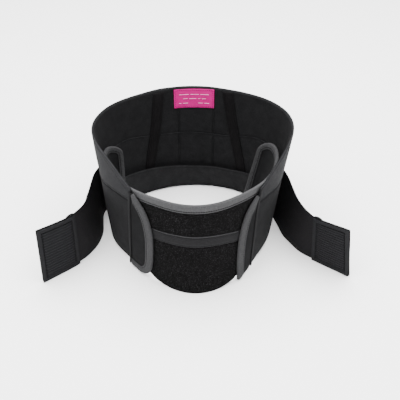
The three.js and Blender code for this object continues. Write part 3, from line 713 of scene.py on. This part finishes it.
def bandPanel(name, material, low, high, depth, cloth, rows, relief):
    clear = degrees(ring["gap"])
    middle = ring["height"] / 2

    def start(height):
        return flapSeamAngle("right", height) + clear

    def end(height):
        return 360 - flapSeamAngle("left", height) - clear

    def placeAt(u, v):
        nominal = mix(start(middle), end(middle), u)
        height = mix(low(nominal), high(nominal), v)
        return mix(start(height), end(height), u), height

    return clothPiece(name, cloths[material], spread(0, 1, band["columns"]), spread(0, 1, rows), placeAt,
                      wall(depth), cloth, relief)


def bandRelief(u, v, along, height):
    # The laminate sinks at its seams, and softly pillows between them.
    seam = near(height - seamHeight(along), band["seamWidth"])
    ends = near(min(u, 1 - u) * band["around"], band["seamWidth"])
    return -band["seamSink"] * max(seam, ends), -band["seamSink"] * 0.3 * seam


def liningRelief(u, v, along, height):
    seam = near(height - seamHeight(along), 2.5)
    return 0, -0.5 * seam - 0.25 * liningLines(along, height)


liningSeams = {"angles": (187.5, 165), "low": 46, "high": 161, "perDegree": 2.7, "width": 2.2}


def liningLines(along, height):   # 1 on the two short upright seams of the lining
    if not liningSeams["low"] < height < liningSeams["high"]:
        return 0
    return max(near((along - angle) * liningSeams["perDegree"], liningSeams["width"])
               for angle in liningSeams["angles"])


def belowSeam(angle):
    return seamHeight(angle) - ring["gap"] / 2


def aboveSeam(angle):
    return seamHeight(angle) + ring["gap"] / 2


def insideFoot(angle):
    return footHeight(angle) + band["insideInset"]


def insideRim(angle):
    return rimHeight(angle) - band["insideInset"]


def makeLaminate():
    layer = (0, ring["bandCloth"])
    lower = bandPanel("lower_laminate_cloth", "lower", footHeight, belowSeam, *layer, band["lowerRows"],
                      bandRelief)
    upper = bandPanel("upper_laminate_cloth", "upper", aboveSeam, rimHeight, *layer, band["upperRows"],
                      bandRelief)
    return lower, upper


def makeLining():
    layer = (liningDepth, ring["liningCloth"])
    lower = bandPanel("lining_lower_cloth", "lining", insideFoot, belowSeam, *layer, band["lowerRows"],
                      liningRelief)
    upper = bandPanel("lining_upper_cloth", "lining", aboveSeam, insideRim, *layer, band["upperRows"],
                      liningRelief)
    return lower, upper


def sewBand(laminate, lining):
    outside, inside = wall(0), wall(liningDepth + ring["liningCloth"])
    around = spread(flapSeamAngle("right", 120) + 1, 359 - flapSeamAngle("left", 120), 320)
    beside = [follow(outside, around, seamHeight, rise, -0.1) for rise in (-2.2, 2.2)]
    seamStitches = stitchRows("band_seam_stitches", beside)
    covered = follow(inside, around, seamHeight, 0, -0.1)
    bead = beadRows("lining_seam_bead", [covered], "upper", 0.5)
    below = [follow(outside, around, rimHeight, -3, 0.05), follow(inside, around, rimHeight, -4, -0.05)]
    rimStitches = stitchRows("rim_stitches", below)
    heights = spread(liningSeams["low"], liningSeams["high"], 30)
    upright = [pathOn(inside, [(angle + side, h) for h in heights])
               for angle in liningSeams["angles"] for side in (-0.5, 0.5)]
    uprightStitches = stitchRows("lining_seam_stitches", upright, length=3.2, thickness=1.1)
    wear(laminate[0], "lower_band")
    wear(laminate[1], "upper_band", [seamStitches, rimStitches])
    wear(lining[0], "lining_lower", [bead])
    wear(lining[1], "lining_upper", [uprightStitches])


sewBand(makeLaminate(), makeLining())
print("band made")


# Inner hem, stays and label


hem = {"height": 66, "foot": 4.5, "lean": 9, "cloth": 2, "from": 112, "to": 236, "turnWidth": 50}
hemRows = {
    "left": [(112, 1.08), (126, 1.0), (140, 0.9), (155, 0.82), (180, 0.72)],
    "right": [(112, 0.9), (126, 0.84), (140, 0.78), (155, 0.72), (180, 0.72)],
}
stay = {"width": 17, "low": 32, "topInset": 4, "cloth": 1.8, "puff": 0.9}
stayRows = {
    "left": [(0.12, 30.5), (0.35, 27.4), (0.65, 23.2), (1.0, 20.0)],
    "right": [(0.12, 37.5), (0.35, 33.8), (0.65, 28.4), (1.0, 23.6)],
}
label = {"width": 67, "height": 35, "angle": 177.5, "drop": 2.0, "cloth": 0.6, "turnWidth": 34}
# Woven lines on the label stay plain dashes: height share, then start and end shares of its width.
labelDashes = [
    (0.71, 0.13, 0.37), (0.71, 0.41, 0.62), (0.71, 0.66, 0.87),
    (0.48, 0.22, 0.34), (0.48, 0.38, 0.56), (0.48, 0.60, 0.66), (0.48, 0.70, 0.80),
    (0.24, 0.12, 0.18), (0.24, 0.22, 0.35), (0.24, 0.60, 0.72), (0.24, 0.76, 0.88),
]


def makeHem():
    def top(angle):
        turn, side = sideOf(angle)
        return hem["height"] * readRows(hemRows[side], turn)

    def placeAt(angle, v):
        return angle, mix(hem["foot"], top(angle), v)

    def surface(angle, height):
        lean = hem["lean"] * (height - hem["foot"]) / (hem["height"] - hem["foot"])
        return wall(seatDepth + lean)(angle, height)

    def relief(u, v, along, height):
        fold = 0.3 * noise.noise(Vector((along / 4, height / 30, 7)))
        return fold, -fold - 0.4 * near(v * hem["turnWidth"] - 3, 2)

    piece = clothPiece("inner_hem_cloth", cloths["hem"], spread(hem["from"], hem["to"], 110),
                       spread(0, 1, 14), placeAt, surface, hem["cloth"], relief)
    around = spread(hem["from"] + 1, hem["to"] - 1, 150)
    rows = [follow(surface, around, top, -3.5, -hem["cloth"]),
            pathOn(surface, [(a, hem["foot"] + 3) for a in around], -hem["cloth"])]
    stitches = stitchRows("hem_stitches", rows)
    wear(piece, "inner_hem", [stitches])


def makeStay(side, sign):
    half = degrees(stay["width"] / 2)
    top = ring["height"] - stay["topInset"]

    def middle(height):
        return 180 + sign * readRows(stayRows[side], height / ring["height"])

    def placeAt(u, v):
        height = mix(stay["low"], top, v)
        return middle(height) + half * u, height

    def relief(u, v, along, height):   # the bone fills the channel between two rows of stitches
        bone = max(0, 1 - (u / 0.62) ** 2) ** 0.5 * min(1, v * 12, (1 - v) * 12)
        return 0, stay["puff"] * bone - 0.4 * near((abs(u) - 0.74) * stay["width"] / 2, 0.8)

    piece = clothPiece(f"stay_channel_{side}", cloths["stay"], spread(-1, 1, 18), spread(0, 1, 46), placeAt,
                       wall(seatDepth), stay["cloth"], relief)
    heights = spread(stay["low"] + 3, top - 3, 40)
    rows = [pathOn(wall(seatDepth), [(middle(h) + half * u, h) for h in heights], -stay["cloth"] + 0.2)
            for u in (-0.74, 0.74)]
    stitches = stitchRows(f"stay_stitches_{side}", rows, thickness=0.6)
    wear(piece, f"stay_{side}", [stitches])


def makeLabel():
    top = rimHeight(label["angle"]) - band["insideInset"] - label["drop"]
    half = degrees(label["width"] / 2)

    def placeAt(u, v):
        return label["angle"] + half * u, top - label["height"] * (1 - v)

    def relief(u, v, along, height):   # folded hems at both ends, held by the stitches
        ends = near((1 - abs(u)) * label["turnWidth"] - 3, 1)
        return 0, 0.25 * noise.noise(Vector((along / 5, height / 14, 3))) - 0.15 * ends

    piece = clothPiece("label_cloth", cloths["label"], spread(-1, 1, 48), spread(0, 1, 24), placeAt,
                       wall(seatDepth), label["cloth"], relief)
    path = [placeAt(u, v) for line in boxSides(-0.94, 0.06, 0.94, 0.94, 24) for u, v in line]
    lifted = -label["cloth"] - 0.05
    border = pathOn(wall(seatDepth), path, lifted)
    stitches = stitchRows("label_stitches", [border], thickness=0.5)
    rows = []
    for v, start, end in labelDashes:
        dash = [placeAt(1 - 2 * mix(start, end, t), v) for t in spread(0, 1, 6)]
        rows.append(pathOn(wall(seatDepth), dash, lifted - 0.1))
    dashes = beadRows("label_dashes", rows, "paleThread", 0.5)
    wear(piece, "label", [stitches, dashes])


makeHem()
makeStay("left", 1)
makeStay("right", -1)
makeLabel()
print("inside made")


# Front flaps with their bindings and seam tapes


flap = {
    "cloth": 2.2, "bindingWidth": 12.5, "tapeWidth": 5, "tapeCloth": 1, "columns": 22, "rows": 48,
    "puff": 0.5, "across": 40,
}
flapFoot = {"left": 0.014, "right": 0.045}
flapEdgeRows = {
    "left": [(0.014, 46), (0.024, 42), (0.058, 37.5), (0.125, 34), (0.24, 32), (0.42, 31), (0.56, 32.3),
             (0.66, 35.2), (0.73, 39.4), (0.79, 44.5)],
    "right": [(0.012, 29.8), (0.12, 28.9), (0.24, 28.4), (0.37, 28.7), (0.5, 30.3), (0.61, 33.1),
              (0.69, 37.8), (0.745, 43.5)],
}


def flapShape(side):   # what the pieces of one flap share
    sign = -1 if side == "left" else 1
    rows = flapEdgeRows[side]
    footShare, topShare = rows[0][0], rows[-1][0]
    tall = ring["height"]
    face = wall(0)

    def edgeAngle(height):
        return readRows(rows, height / tall)

    def seamAngle(height):
        return flapSeamAngle(side, height) - degrees(ring["gap"])

    foot = tall * footShare
    clear = flap["tapeWidth"] / 2 + ring["gap"]
    perDegree = (face(sign * seamAngle(foot), foot) - face(sign * (seamAngle(foot) - 1), foot)).length
    footEnd = seamAngle(foot + flap["bindingWidth"]) - (clear + ring["gap"]) / perDegree

    def pathAt(station):   # 0 to 1 up the free edge, 0 to -1 along the foot
        if station < 0:
            return sign * mix(rows[0][1], footEnd, min(-station, 1)), foot
        height = tall * mix(footShare, topShare, min(station, 1))
        return sign * edgeAngle(height), height

    def widthAt(station):
        if station < 0:
            return flap["bindingWidth"]
        angle, height = pathAt(station)
        room = (face(angle, height) - face(sign * seamAngle(height), height)).length - clear
        return clamp(room, 1, flap["bindingWidth"])

    def placeAt(u, share):
        seamShare = mix(topShare, flapFoot[side], (topShare - share) / (topShare - footShare))
        edge, seam = tall * share, tall * seamShare
        return sign * mix(edgeAngle(edge), seamAngle(seam), u), mix(edge, seam, u)

    shares = spread(footShare, topShare, flap["rows"])
    return {"sign": sign, "face": face, "shares": shares, "placeAt": placeAt, "pathAt": pathAt,
            "widthAt": widthAt}


def makeFlapCloth(side, shape):
    def relief(u, share, along, height):   # pillows a little and sinks along the seam
        pillow = flap["puff"] * math.sin(math.pi * clamp(u, 0, 1)) ** 0.5
        return pillow * 0.5 - 0.7 * near((1 - u) * flap["across"] - 1, 4), 0

    return clothPiece(f"{side}_flap_cloth", cloths["flap"], spread(0, 1, flap["columns"]), shape["shares"],
                      shape["placeAt"], shape["face"], flap["cloth"], relief)


def makeFlapEdging(side, shape):
    stations = spread(0, 1, 90)
    if side == "left":   # the left tape also runs along the flap's foot
        stations = spread(-1, 0, 20)[:-1] + [0, 0.004, 0.009] + stations[1:]
    return bindingPiece(f"{side}_flap_edging", cloths["sideBinding"], stations, shape["pathAt"],
                        shape["face"], shape["widthAt"], flap["cloth"], -shape["sign"], 0.5)


def makeSeamTape(side, shape):   # the tape, and the two rows that are sewn beside it
    top = rimHeight(flapSeamAngle(side, ring["height"] * flapEdgeRows[side][-1][0])) - band["insideInset"]
    half = degrees(flap["tapeWidth"] / 2)

    def placeAt(u, v):
        height = mix(ring["height"] * flapFoot[side], top, v)
        return shape["sign"] * flapSeamAngle(side, height) + half * u, height

    def relief(u, v, along, height):
        return 0.5 * math.sqrt(max(0, 1 - u * u)) - 0.2, 0

    tape = clothPiece(f"{side}_seam_tape", cloths["tape"], spread(-1, 1, 8), spread(0, 1, 60), placeAt,
                      wall(-ring["gap"] - flap["tapeCloth"]), flap["tapeCloth"], relief)
    beside = [pathOn(shape["face"], [placeAt(offset, v) for v in spread(0.02, 0.98, 60)])
              for offset in (-1.5, 1.5)]
    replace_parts(trim(tape), f"{side}_flap_seam")
    return tape, beside


def makeFlap(side):
    shape = flapShape(side)
    cloth = makeFlapCloth(side, shape)
    binding = makeFlapEdging(side, shape)
    tape, beside = makeSeamTape(side, shape)
    inset = groovePlaces(spread(0.03, 0.94, 90), shape["pathAt"], shape["face"], shape["widthAt"],
                         -shape["sign"], 0.01)
    rows = beside + [pathOn(shape["face"], inset, 1.35)]
    stitches = stitchRows(f"{side}_flap_stitches", rows)
    wear(cloth, f"{side}_flap", [stitches, tape])
    wear(binding, f"{side}_flap_binding", [])


makeFlap("left")
makeFlap("right")
print("flaps made")


# Belly panel: one long cloth with a rounded tongue at each end, its binding and its covers


belly = {
    "height": 163.5, "cloth": 2, "loopCloth": 1.6, "midCloth": 2.2, "midWidth": 19, "midHeight": 101,
    "bindingWidth": 12.5, "tongueBinding": 8.5, "bindingFrom": 62, "tongueEnd": 120, "tongueCorner": 98,
    "topCorner": 26, "lowCorner": 28, "curl": 48, "leftLow": 0.5, "leftKept": 1.05, "rightLow": 1.0,
    "rightKept": 0.42, "loopPuff": 0.5, "midPuff": 1.2,
}
bellyRows = [   # angle, top, foot, curl on the left, curl on the right
    (0, 1.0, 0, 0, 0), (12, 1.0, 0.02, 0, 0), (24, 1.0, 0.22, 0, 0), (36, 0.99, 0.9, 0, 0),
    (52, 0.97, 1.0, 0, 0.01), (66, 0.955, 1.0, 0.03, 0.12), (80, 0.945, 1.0, 0.06, 0.27),
    (98, 0.935, 1.0, 0.09, 0.47), (109, 0.93, 1.0, 0.13, 0.6), (115, 0.93, 1.0, 0.25, 0.75),
    (120, 0.93, 1.0, 0.42, 0.97), (122, 0.93, 1.0, 0.49, 1.06),
]
midRows = [(-48, 0.92), (-26, 0.97), (-10, 1.0), (4, 1.0), (16, 0.97), (28, 0.9), (48, 0.83)]
flapBack = flap["cloth"] + edging["clear"] + edging["cloth"]
bellyFaceDepth = max(flapBack, liningDepth + ring["liningCloth"]) + ring["gap"]
bellyDepth = bellyFaceDepth + belly["midCloth"] + ring["gap"]


def cornerDrop(angle):
    share = (abs(angle) - belly["tongueCorner"]) / (belly["tongueEnd"] - belly["tongueCorner"])
    return 1 - math.sqrt(max(0, 1 - max(0, share) ** 2))


def bellyTop(angle):
    return belly["height"] * readRows(bellyRows, abs(angle), 1) - belly["topCorner"] * cornerDrop(angle)


def bellyFoot(angle):
    return ring["footLift"] * readRows(bellyRows, abs(angle), 2) + belly["lowCorner"] * cornerDrop(angle)


def bellyAt(depth):
    def point(angle, height):
        column, side = (3, "left") if angle < 0 else (4, "right")
        kept = mix(belly[side + "Low"], belly[side + "Kept"], height / belly["height"])
        curl = readRows(bellyRows, abs(angle), column) * kept
        return wall(depth + belly["curl"] * curl)(angle, height)
    return point


def bellyAngles(steps, cornerSteps):
    corner = spread(0, 90, cornerSteps)[1:]
    reach = belly["tongueEnd"] - belly["tongueCorner"]
    half = spread(0, belly["tongueCorner"], steps)
    half += [belly["tongueCorner"] + reach * math.sin(math.radians(turn)) for turn in corner]
    return [-angle for angle in half[:0:-1]] + half


def bellyRoute(across):   # the bound edge laid flat, from one tongue's foot over the top to the other's
    def laid(angle, height):
        return Vector((math.radians(angle) * ring["radius"], height, 0))

    route = [laid(a, bellyTop(a)) for a in across]
    end = belly["tongueEnd"]
    for sign in (-1, 1):
        side = [laid(sign * end, mix(bellyTop(end), bellyFoot(end), t)) for t in spread(0, 1, 12)[1:-1]]
        side += [laid(sign * a, bellyFoot(a)) for a in reversed(across) if a >= belly["bindingFrom"]]
        route = side[::-1] + route if sign < 0 else route + side
    return tapePath(route)


def makeBellyEdging(face, across):
    at, length = bellyRoute(across)

    def pathAt(station):
        flat = at(station)
        return math.degrees(flat.x / ring["radius"]), flat.y

    def widthAt(station):   # narrower where it turns round the tongues
        turned = clamp((abs(pathAt(station)[0]) - 80) / 28, 0, 1)
        return mix(belly["bindingWidth"], belly["tongueBinding"], turned)

    binding = bindingPiece("belly_edging", cloths["binding"], spread(0, length, 300), pathAt, face, widthAt,
                           belly["cloth"], -1, 0.25, 3.0)
    stitched = groovePlaces(spread(4, length - 4, 360), pathAt, face, widthAt, -1, 3)
    rows = [pathOn(face, stitched, lift) for lift in (1.2, -belly["cloth"] - 1.2)]
    stitches = stitchRows("belly_edging_stitches", rows, length=3.2, thickness=1.3)
    return binding, stitches


def makeBellyPanel():
    face = bellyAt(bellyDepth)
    across = bellyAngles(80, 14)

    def placeAt(angle, v):
        return angle, mix(bellyFoot(angle), bellyTop(angle), v)

    piece = clothPiece("belly_panel_cloth", cloths["flap"], across, spread(0, 1, 34), placeAt, face,
                       belly["cloth"])
    binding, stitches = makeBellyEdging(face, across)
    wear(piece, "belly_panel")
    wear(binding, "belly_binding", [stitches])


def midLine(angle):
    return belly["midHeight"] * readRows(midRows, angle)


def midLow(angle):
    return midLine(angle) - belly["midWidth"] / 2


def midTop(angle):
    return midLine(angle) + belly["midWidth"] / 2


def loopTop(angle):
    return bellyTop(angle) - belly["bindingWidth"] - 2 * ring["gap"]


def shown(along):   # relief fades out where the flaps cover the panel
    return max(0, 1 - max(0, abs(along) - 27) / 6)


def loopRelief(u, v, along, height):   # the pile swells between its sewn edges
    edge = min(height, abs(height - midLine(along)) - belly["midWidth"] / 2)
    ripple = 0.35 * noise.noise(Vector((along / 3, height / 11, 1)))
    return (belly["loopPuff"] * (1 - near(edge, 5)) + ripple) * shown(along), 0


def midRelief(u, v, along, height):   # padded between two rows of stitches
    across = 2 * v - 1
    pad = max(0, 1 - (across / 0.72) ** 2) ** 0.5
    return belly["midPuff"] * pad * shown(along), 0


def coverFace(cloth):   # surface on which a cover of this thickness just clears the panel
    return bellyAt(bellyDepth - ring["gap"] - cloth)


def bellyCover(name, material, low, high, cloth, rows, relief):   # a cloth on the panel, from flap to flap
    clear = degrees(2 * ring["gap"])

    def ends(height):
        return clear - flapSeamAngle("left", height), flapSeamAngle("right", height) - clear

    def placeAt(u, v):
        nominal = mix(*ends(belly["midHeight"]), u)
        height = mix(low(nominal), high(nominal), v)
        return mix(*ends(height), u), height

    return clothPiece(name, cloths[material], spread(0, 1, 76), spread(0, 1, rows), placeAt,
                      coverFace(cloth), cloth, relief)


def makeLoopVelour(name, node, low, high, rows):
    piece = bellyCover(name, "loop", low, high, belly["loopCloth"], rows, loopRelief)
    wear(piece, node, [])


def makeMidBand():
    piece = bellyCover("mid_band_cloth", "midBand", midLow, midTop, belly["midCloth"], 14, midRelief)
    face = coverFace(belly["midCloth"])
    around = spread(-30, 28, 110)
    rows = [follow(face, around, midLine, rise, 0.1) for rise in (-7.6, 7.6)]
    stitches = stitchRows("mid_band_stitches", rows)
    # Partly a raised fold and partly a painted highlight: a bead along the top edge, in the lighter
    # side-tape grey, stands in for the light the band's top edge catches.
    edge = follow(face, around, midTop, -0.6)
    edgeHighlight = beadRows("mid_band_selvedge", [edge], "sideBinding", 0.6)
    wear(piece, "belly_mid_band", [stitches, edgeHighlight])


makeBellyPanel()
makeLoopVelour("upper_loop_cloth", "belly_loop_upper", lambda a: midTop(a) + ring["gap"], loopTop, 14)
makeLoopVelour("lower_loop_cloth", "belly_loop_lower", bellyFoot, lambda a: midLow(a) - ring["gap"], 24)
makeMidBand()
print("belly made")


# Side straps with their hook tabs and clothing protectors


strap = {
    "length": 303, "width": 92, "root": 148, "lift": 0.5, "cloth": 1.6, "tab": 66, "hookCloth": 1.2,
    "protectorCloth": 1.4, "hookRise": 2.2, "hookBump": 3, "hookBumpLength": 15, "border": 6, "rib": 4.8,
    "ribRadius": 1.0, "probe": 0.012,
}
tabStart = 1 - strap["tab"] / strap["length"]
hookOffset = strap["cloth"] + ring["gap"]
protectorOffset = hookOffset + strap["hookCloth"] + ring["gap"]
strapRows = {   # share of the free length, heading, lean, width
    "left": (135, [
        (0.00, 48, 0.02, 1.00), (0.12, 62, 0.02, 1.00), (0.24, 15, 0.06, 0.99), (0.34, -1, 0.11, 1.00),
        (0.43, 4, 0.15, 1.01), (0.53, 10, 0.13, 1.02), (0.61, 20, 0.07, 1.03), (0.69, 34, 0.03, 1.04),
        (0.76, 40, -0.01, 1.05), (0.84, 50, -0.03, 1.07), (1.00, 52, -0.04, 1.11)]),
    "right": (125, [
        (0.00, 32, 0.08, 1.00), (0.10, 25, 0.11, 1.00), (0.20, 12, 0.17, 1.00), (0.29, 8, 0.16, 1.00),
        (0.40, 11, 0.14, 0.98), (0.52, 20, 0.06, 0.97), (0.63, 30, 0.00, 0.95), (0.70, 40, -0.07, 0.95),
        (0.76, 44, -0.11, 0.97), (0.84, 45, -0.14, 1.01), (1.00, 43, -0.21, 1.12)]),
}


def strapRoute(side):
    leave, rows = strapRows[side]
    sign = -1 if side == "left" else 1
    middle = strap["lift"] + strap["width"] / 2
    points, leans = [], []
    for angle in spread(strap["root"], leave, 12):
        low = wall(0)(sign * angle, strap["lift"])
        high = wall(0)(sign * angle, strap["lift"] + strap["width"])
        points.append(wall(-ring["gap"] - strap["cloth"])(sign * angle, middle))
        leans.append(high.xy.length - low.xy.length)
    sewn = sum((b - a).length for a, b in zip(points, points[1:]))
    free = strap["length"] - sewn
    steps = 120
    for i in range(steps):
        heading = math.radians(readRows(rows, (i + 0.5) / steps, 1))
        way = Vector((sign * math.sin(heading), -math.cos(heading), 0))
        points.append(points[-1] + way * free / steps)
        leans.append(readRows(rows, (i + 1) / steps, 2) * strap["width"])
    at, length = tapePath([Vector((p.x, p.y, lean)) for p, lean in zip(points, leans)])

    def widthAt(share):
        return strap["width"] * readRows(rows, max(0, (share * strap["length"] - sewn) / free), 3)

    return lambda share: at(share * length), widthAt


def strapShape(side):   # what the layers of one strap share
    sign = -1 if side == "left" else 1
    at, widthAt = strapRoute(side)
    probe = strap["probe"]

    def surfaceAt(offset):
        def point(share, height):
            here = at(clamp(share, 0, 1))
            before, after = at(clamp(share - probe, 0, 1)), at(clamp(share + probe, 0, 1))
            outward = Vector((after.y - before.y, before.x - after.x, 0)).normalized() * -sign
            lean = here.z * (height - strap["lift"] - strap["width"] / 2) / strap["width"]
            return Vector((here.x, here.y, height)) + outward * (lean - offset)
        return point

    def top(share):
        return strap["lift"] + widthAt(share)

    def lineOn(offset, places, lift):   # a line through shares of length and width, raised toward the camera
        surface = surfaceAt(offset)
        line = []
        for share, v in places:
            height = mix(strap["lift"], top(share), v)
            inward = inwardAt(surface, share, height, probe) * -sign
            line.append(surface(share, height) + inward * lift)
        return line

    def layer(name, material, across, offset, cloth, high, rows, relief):
        def placeAt(share, v):
            return share, mix(strap["lift"], high(share), v)
        return clothPiece(name, cloths[material], across, spread(0, 1, rows), placeAt, surfaceAt(offset),
                          cloth, relief, probe, -sign)

    return {"sign": sign, "widthAt": widthAt, "top": top, "lineOn": lineOn, "layer": layer}


def makeElastic(side, shape):
    def relief(share, v, along, height):   # gentle ripples where the elastic is free
        loose = clamp((share - 0.2) * 8, 0, 1) * clamp((tabStart - share) * 12, 0, 1)
        ripple = 0.5 * loose * noise.noise(Vector((share * 14, height / 60, 5 + shape["sign"])))
        return ripple, -ripple

    columns = spread(0, tabStart, 78)[:-1] + spread(tabStart, 1, 34)
    return shape["layer"](f"side_strap_cloth_{side}", "strap", columns, 0, strap["cloth"], shape["top"], 30,
                          relief)


def stitchStrap(side, shape):   # a box at the sewn root and one round the tab, in shares of length and width
    boxes = boxSides(0.012, 0.05, 0.07, 0.95, 30) + boxSides(tabStart + 0.02, 0.05, 0.982, 0.95, 30)
    rows = [shape["lineOn"](0, places, -0.1) for places in boxes]
    return stitchRows(f"strap_stitches_{side}", rows, thickness=0.9)


def makeHookTape(side, shape):
    def top(share):   # a rounded hump at the inner corner, then a slightly saw-toothed cut
        along = (share - tabStart) * strap["length"]
        bump = math.sin(math.pi * clamp(along / strap["hookBumpLength"], 0, 1))
        hump = strap["hookBump"] * math.sqrt(max(0, bump))
        return shape["top"](share) + strap["hookRise"] + hump + 0.35 * math.sin(along * 2.4)

    return shape["layer"](f"hook_tape_{side}", "hook", spread(tabStart, 1, 110), hookOffset,
                          strap["hookCloth"], top, 24, noRelief)


def makeProtector(side, shape):
    length, border = strap["length"], strap["border"]

    def relief(share, v, along, height):   # a raised border round the ribbed field, with a groove between
        wide = shape["widthAt"](share)
        distance = min((share - tabStart) * length, (1 - share) * length, v * wide, (1 - v) * wide)
        raised = 0.8 * clamp((border - distance) / 1.2, 0, 1)
        return 0, raised - 0.8 * near(distance - border - 1.2, 1.3)

    cloth = strap["protectorCloth"]
    piece = shape["layer"](f"clothing_protector_cloth_{side}", "protector", spread(tabStart, 1, 60),
                           protectorOffset, cloth, shape["top"], 80, relief)
    inset = border + 0.6
    du, dv = inset / length, inset / strap["width"]
    across = spread(tabStart + du, 1 - du, 26)
    count = int((strap["width"] - 2 * inset) / strap["rib"])
    ribLines = []
    for height in spread(inset + 1, strap["width"] - inset - 1, count):
        places = [(share, height / strap["width"]) for share in across]
        ribLines.append(shape["lineOn"](protectorOffset + cloth, places, 0.1))
    ribbed = beadRows(f"protector_ribs_{side}", ribLines, "rib", strap["ribRadius"])
    around = [place for line in boxSides(tabStart + du, dv, 1 - du, 1 - dv, 30) for place in line[:-1]]
    stitched = shape["lineOn"](protectorOffset + cloth, around, 0.35)
    stitches = stitchRows(f"protector_stitches_{side}", [stitched], spacing=3.2,
                          thickness=1.5)
    return piece, [ribbed, stitches]


def makeStrap(side):
    shape = strapShape(side)
    elastic = makeElastic(side, shape)
    hook = makeHookTape(side, shape)
    protector, trims = makeProtector(side, shape)
    stitches = stitchStrap(side, shape)
    wear(elastic, f"side_strap_{side}", [stitches])
    wear(hook, f"hook_tab_{side}", [])
    wear(protector, f"clothing_protector_{side}", trims)


makeStrap("left")
makeStrap("right")
print("straps made")


# Floor and studio light


studio = {
    "floorSize": 60, "floorColor": "#ffffff", "skyColor": "#ffffff", "skyStrength": 1.5,
    "lamps": [   # name, place, aim, size, watts
        ("overhead softbox", (0.0, 0.1, 1.8), (0, 0, 0.1), 2.6, 190),
        ("left softbox", (-1.3, -1.0, 1.1), (0, 0, 0.1), 1.0, 8),
        ("right softbox", (1.4, -0.8, 1.0), (0, 0, 0.1), 1.0, 6),
    ],
}


def makeFloor():
    size = studio["floorSize"] / 2
    mesh = bpy.data.meshes.new("studio_floor")
    corners = [(x * size, y * size, -0.0005) for x, y in ((-1, -1), (1, -1), (1, 1), (-1, 1))]
    mesh.from_pydata(corners, [], [(0, 1, 2, 3)])
    floor = addObject("studio_floor", mesh)
    paper = bpy.data.materials.new("matt studio paper")
    paper.use_nodes = True
    shader = paper.node_tree.nodes["Principled BSDF"]
    shader.inputs["Base Color"].default_value = linear(studio["floorColor"])
    shader.inputs["Roughness"].default_value = 0.9
    mesh.materials.append(paper)


def makeSky():
    world = bpy.data.worlds.new("studio sky")
    world.use_nodes = True
    sky = world.node_tree.nodes["Background"]
    sky.inputs["Color"].default_value = linear(studio["skyColor"])
    sky.inputs["Strength"].default_value = studio["skyStrength"]
    bpy.context.scene.world = world


def makeLamp(name, place, aim, wide, watts):
    data = bpy.data.lights.new(name, "AREA")
    data.shape = "SQUARE"
    data.size = wide
    data.energy = watts
    aimFrom(addObject(name, data), place, aim)


makeFloor()
makeSky()
for lamp in studio["lamps"]:
    makeLamp(*lamp)
print("studio lit")
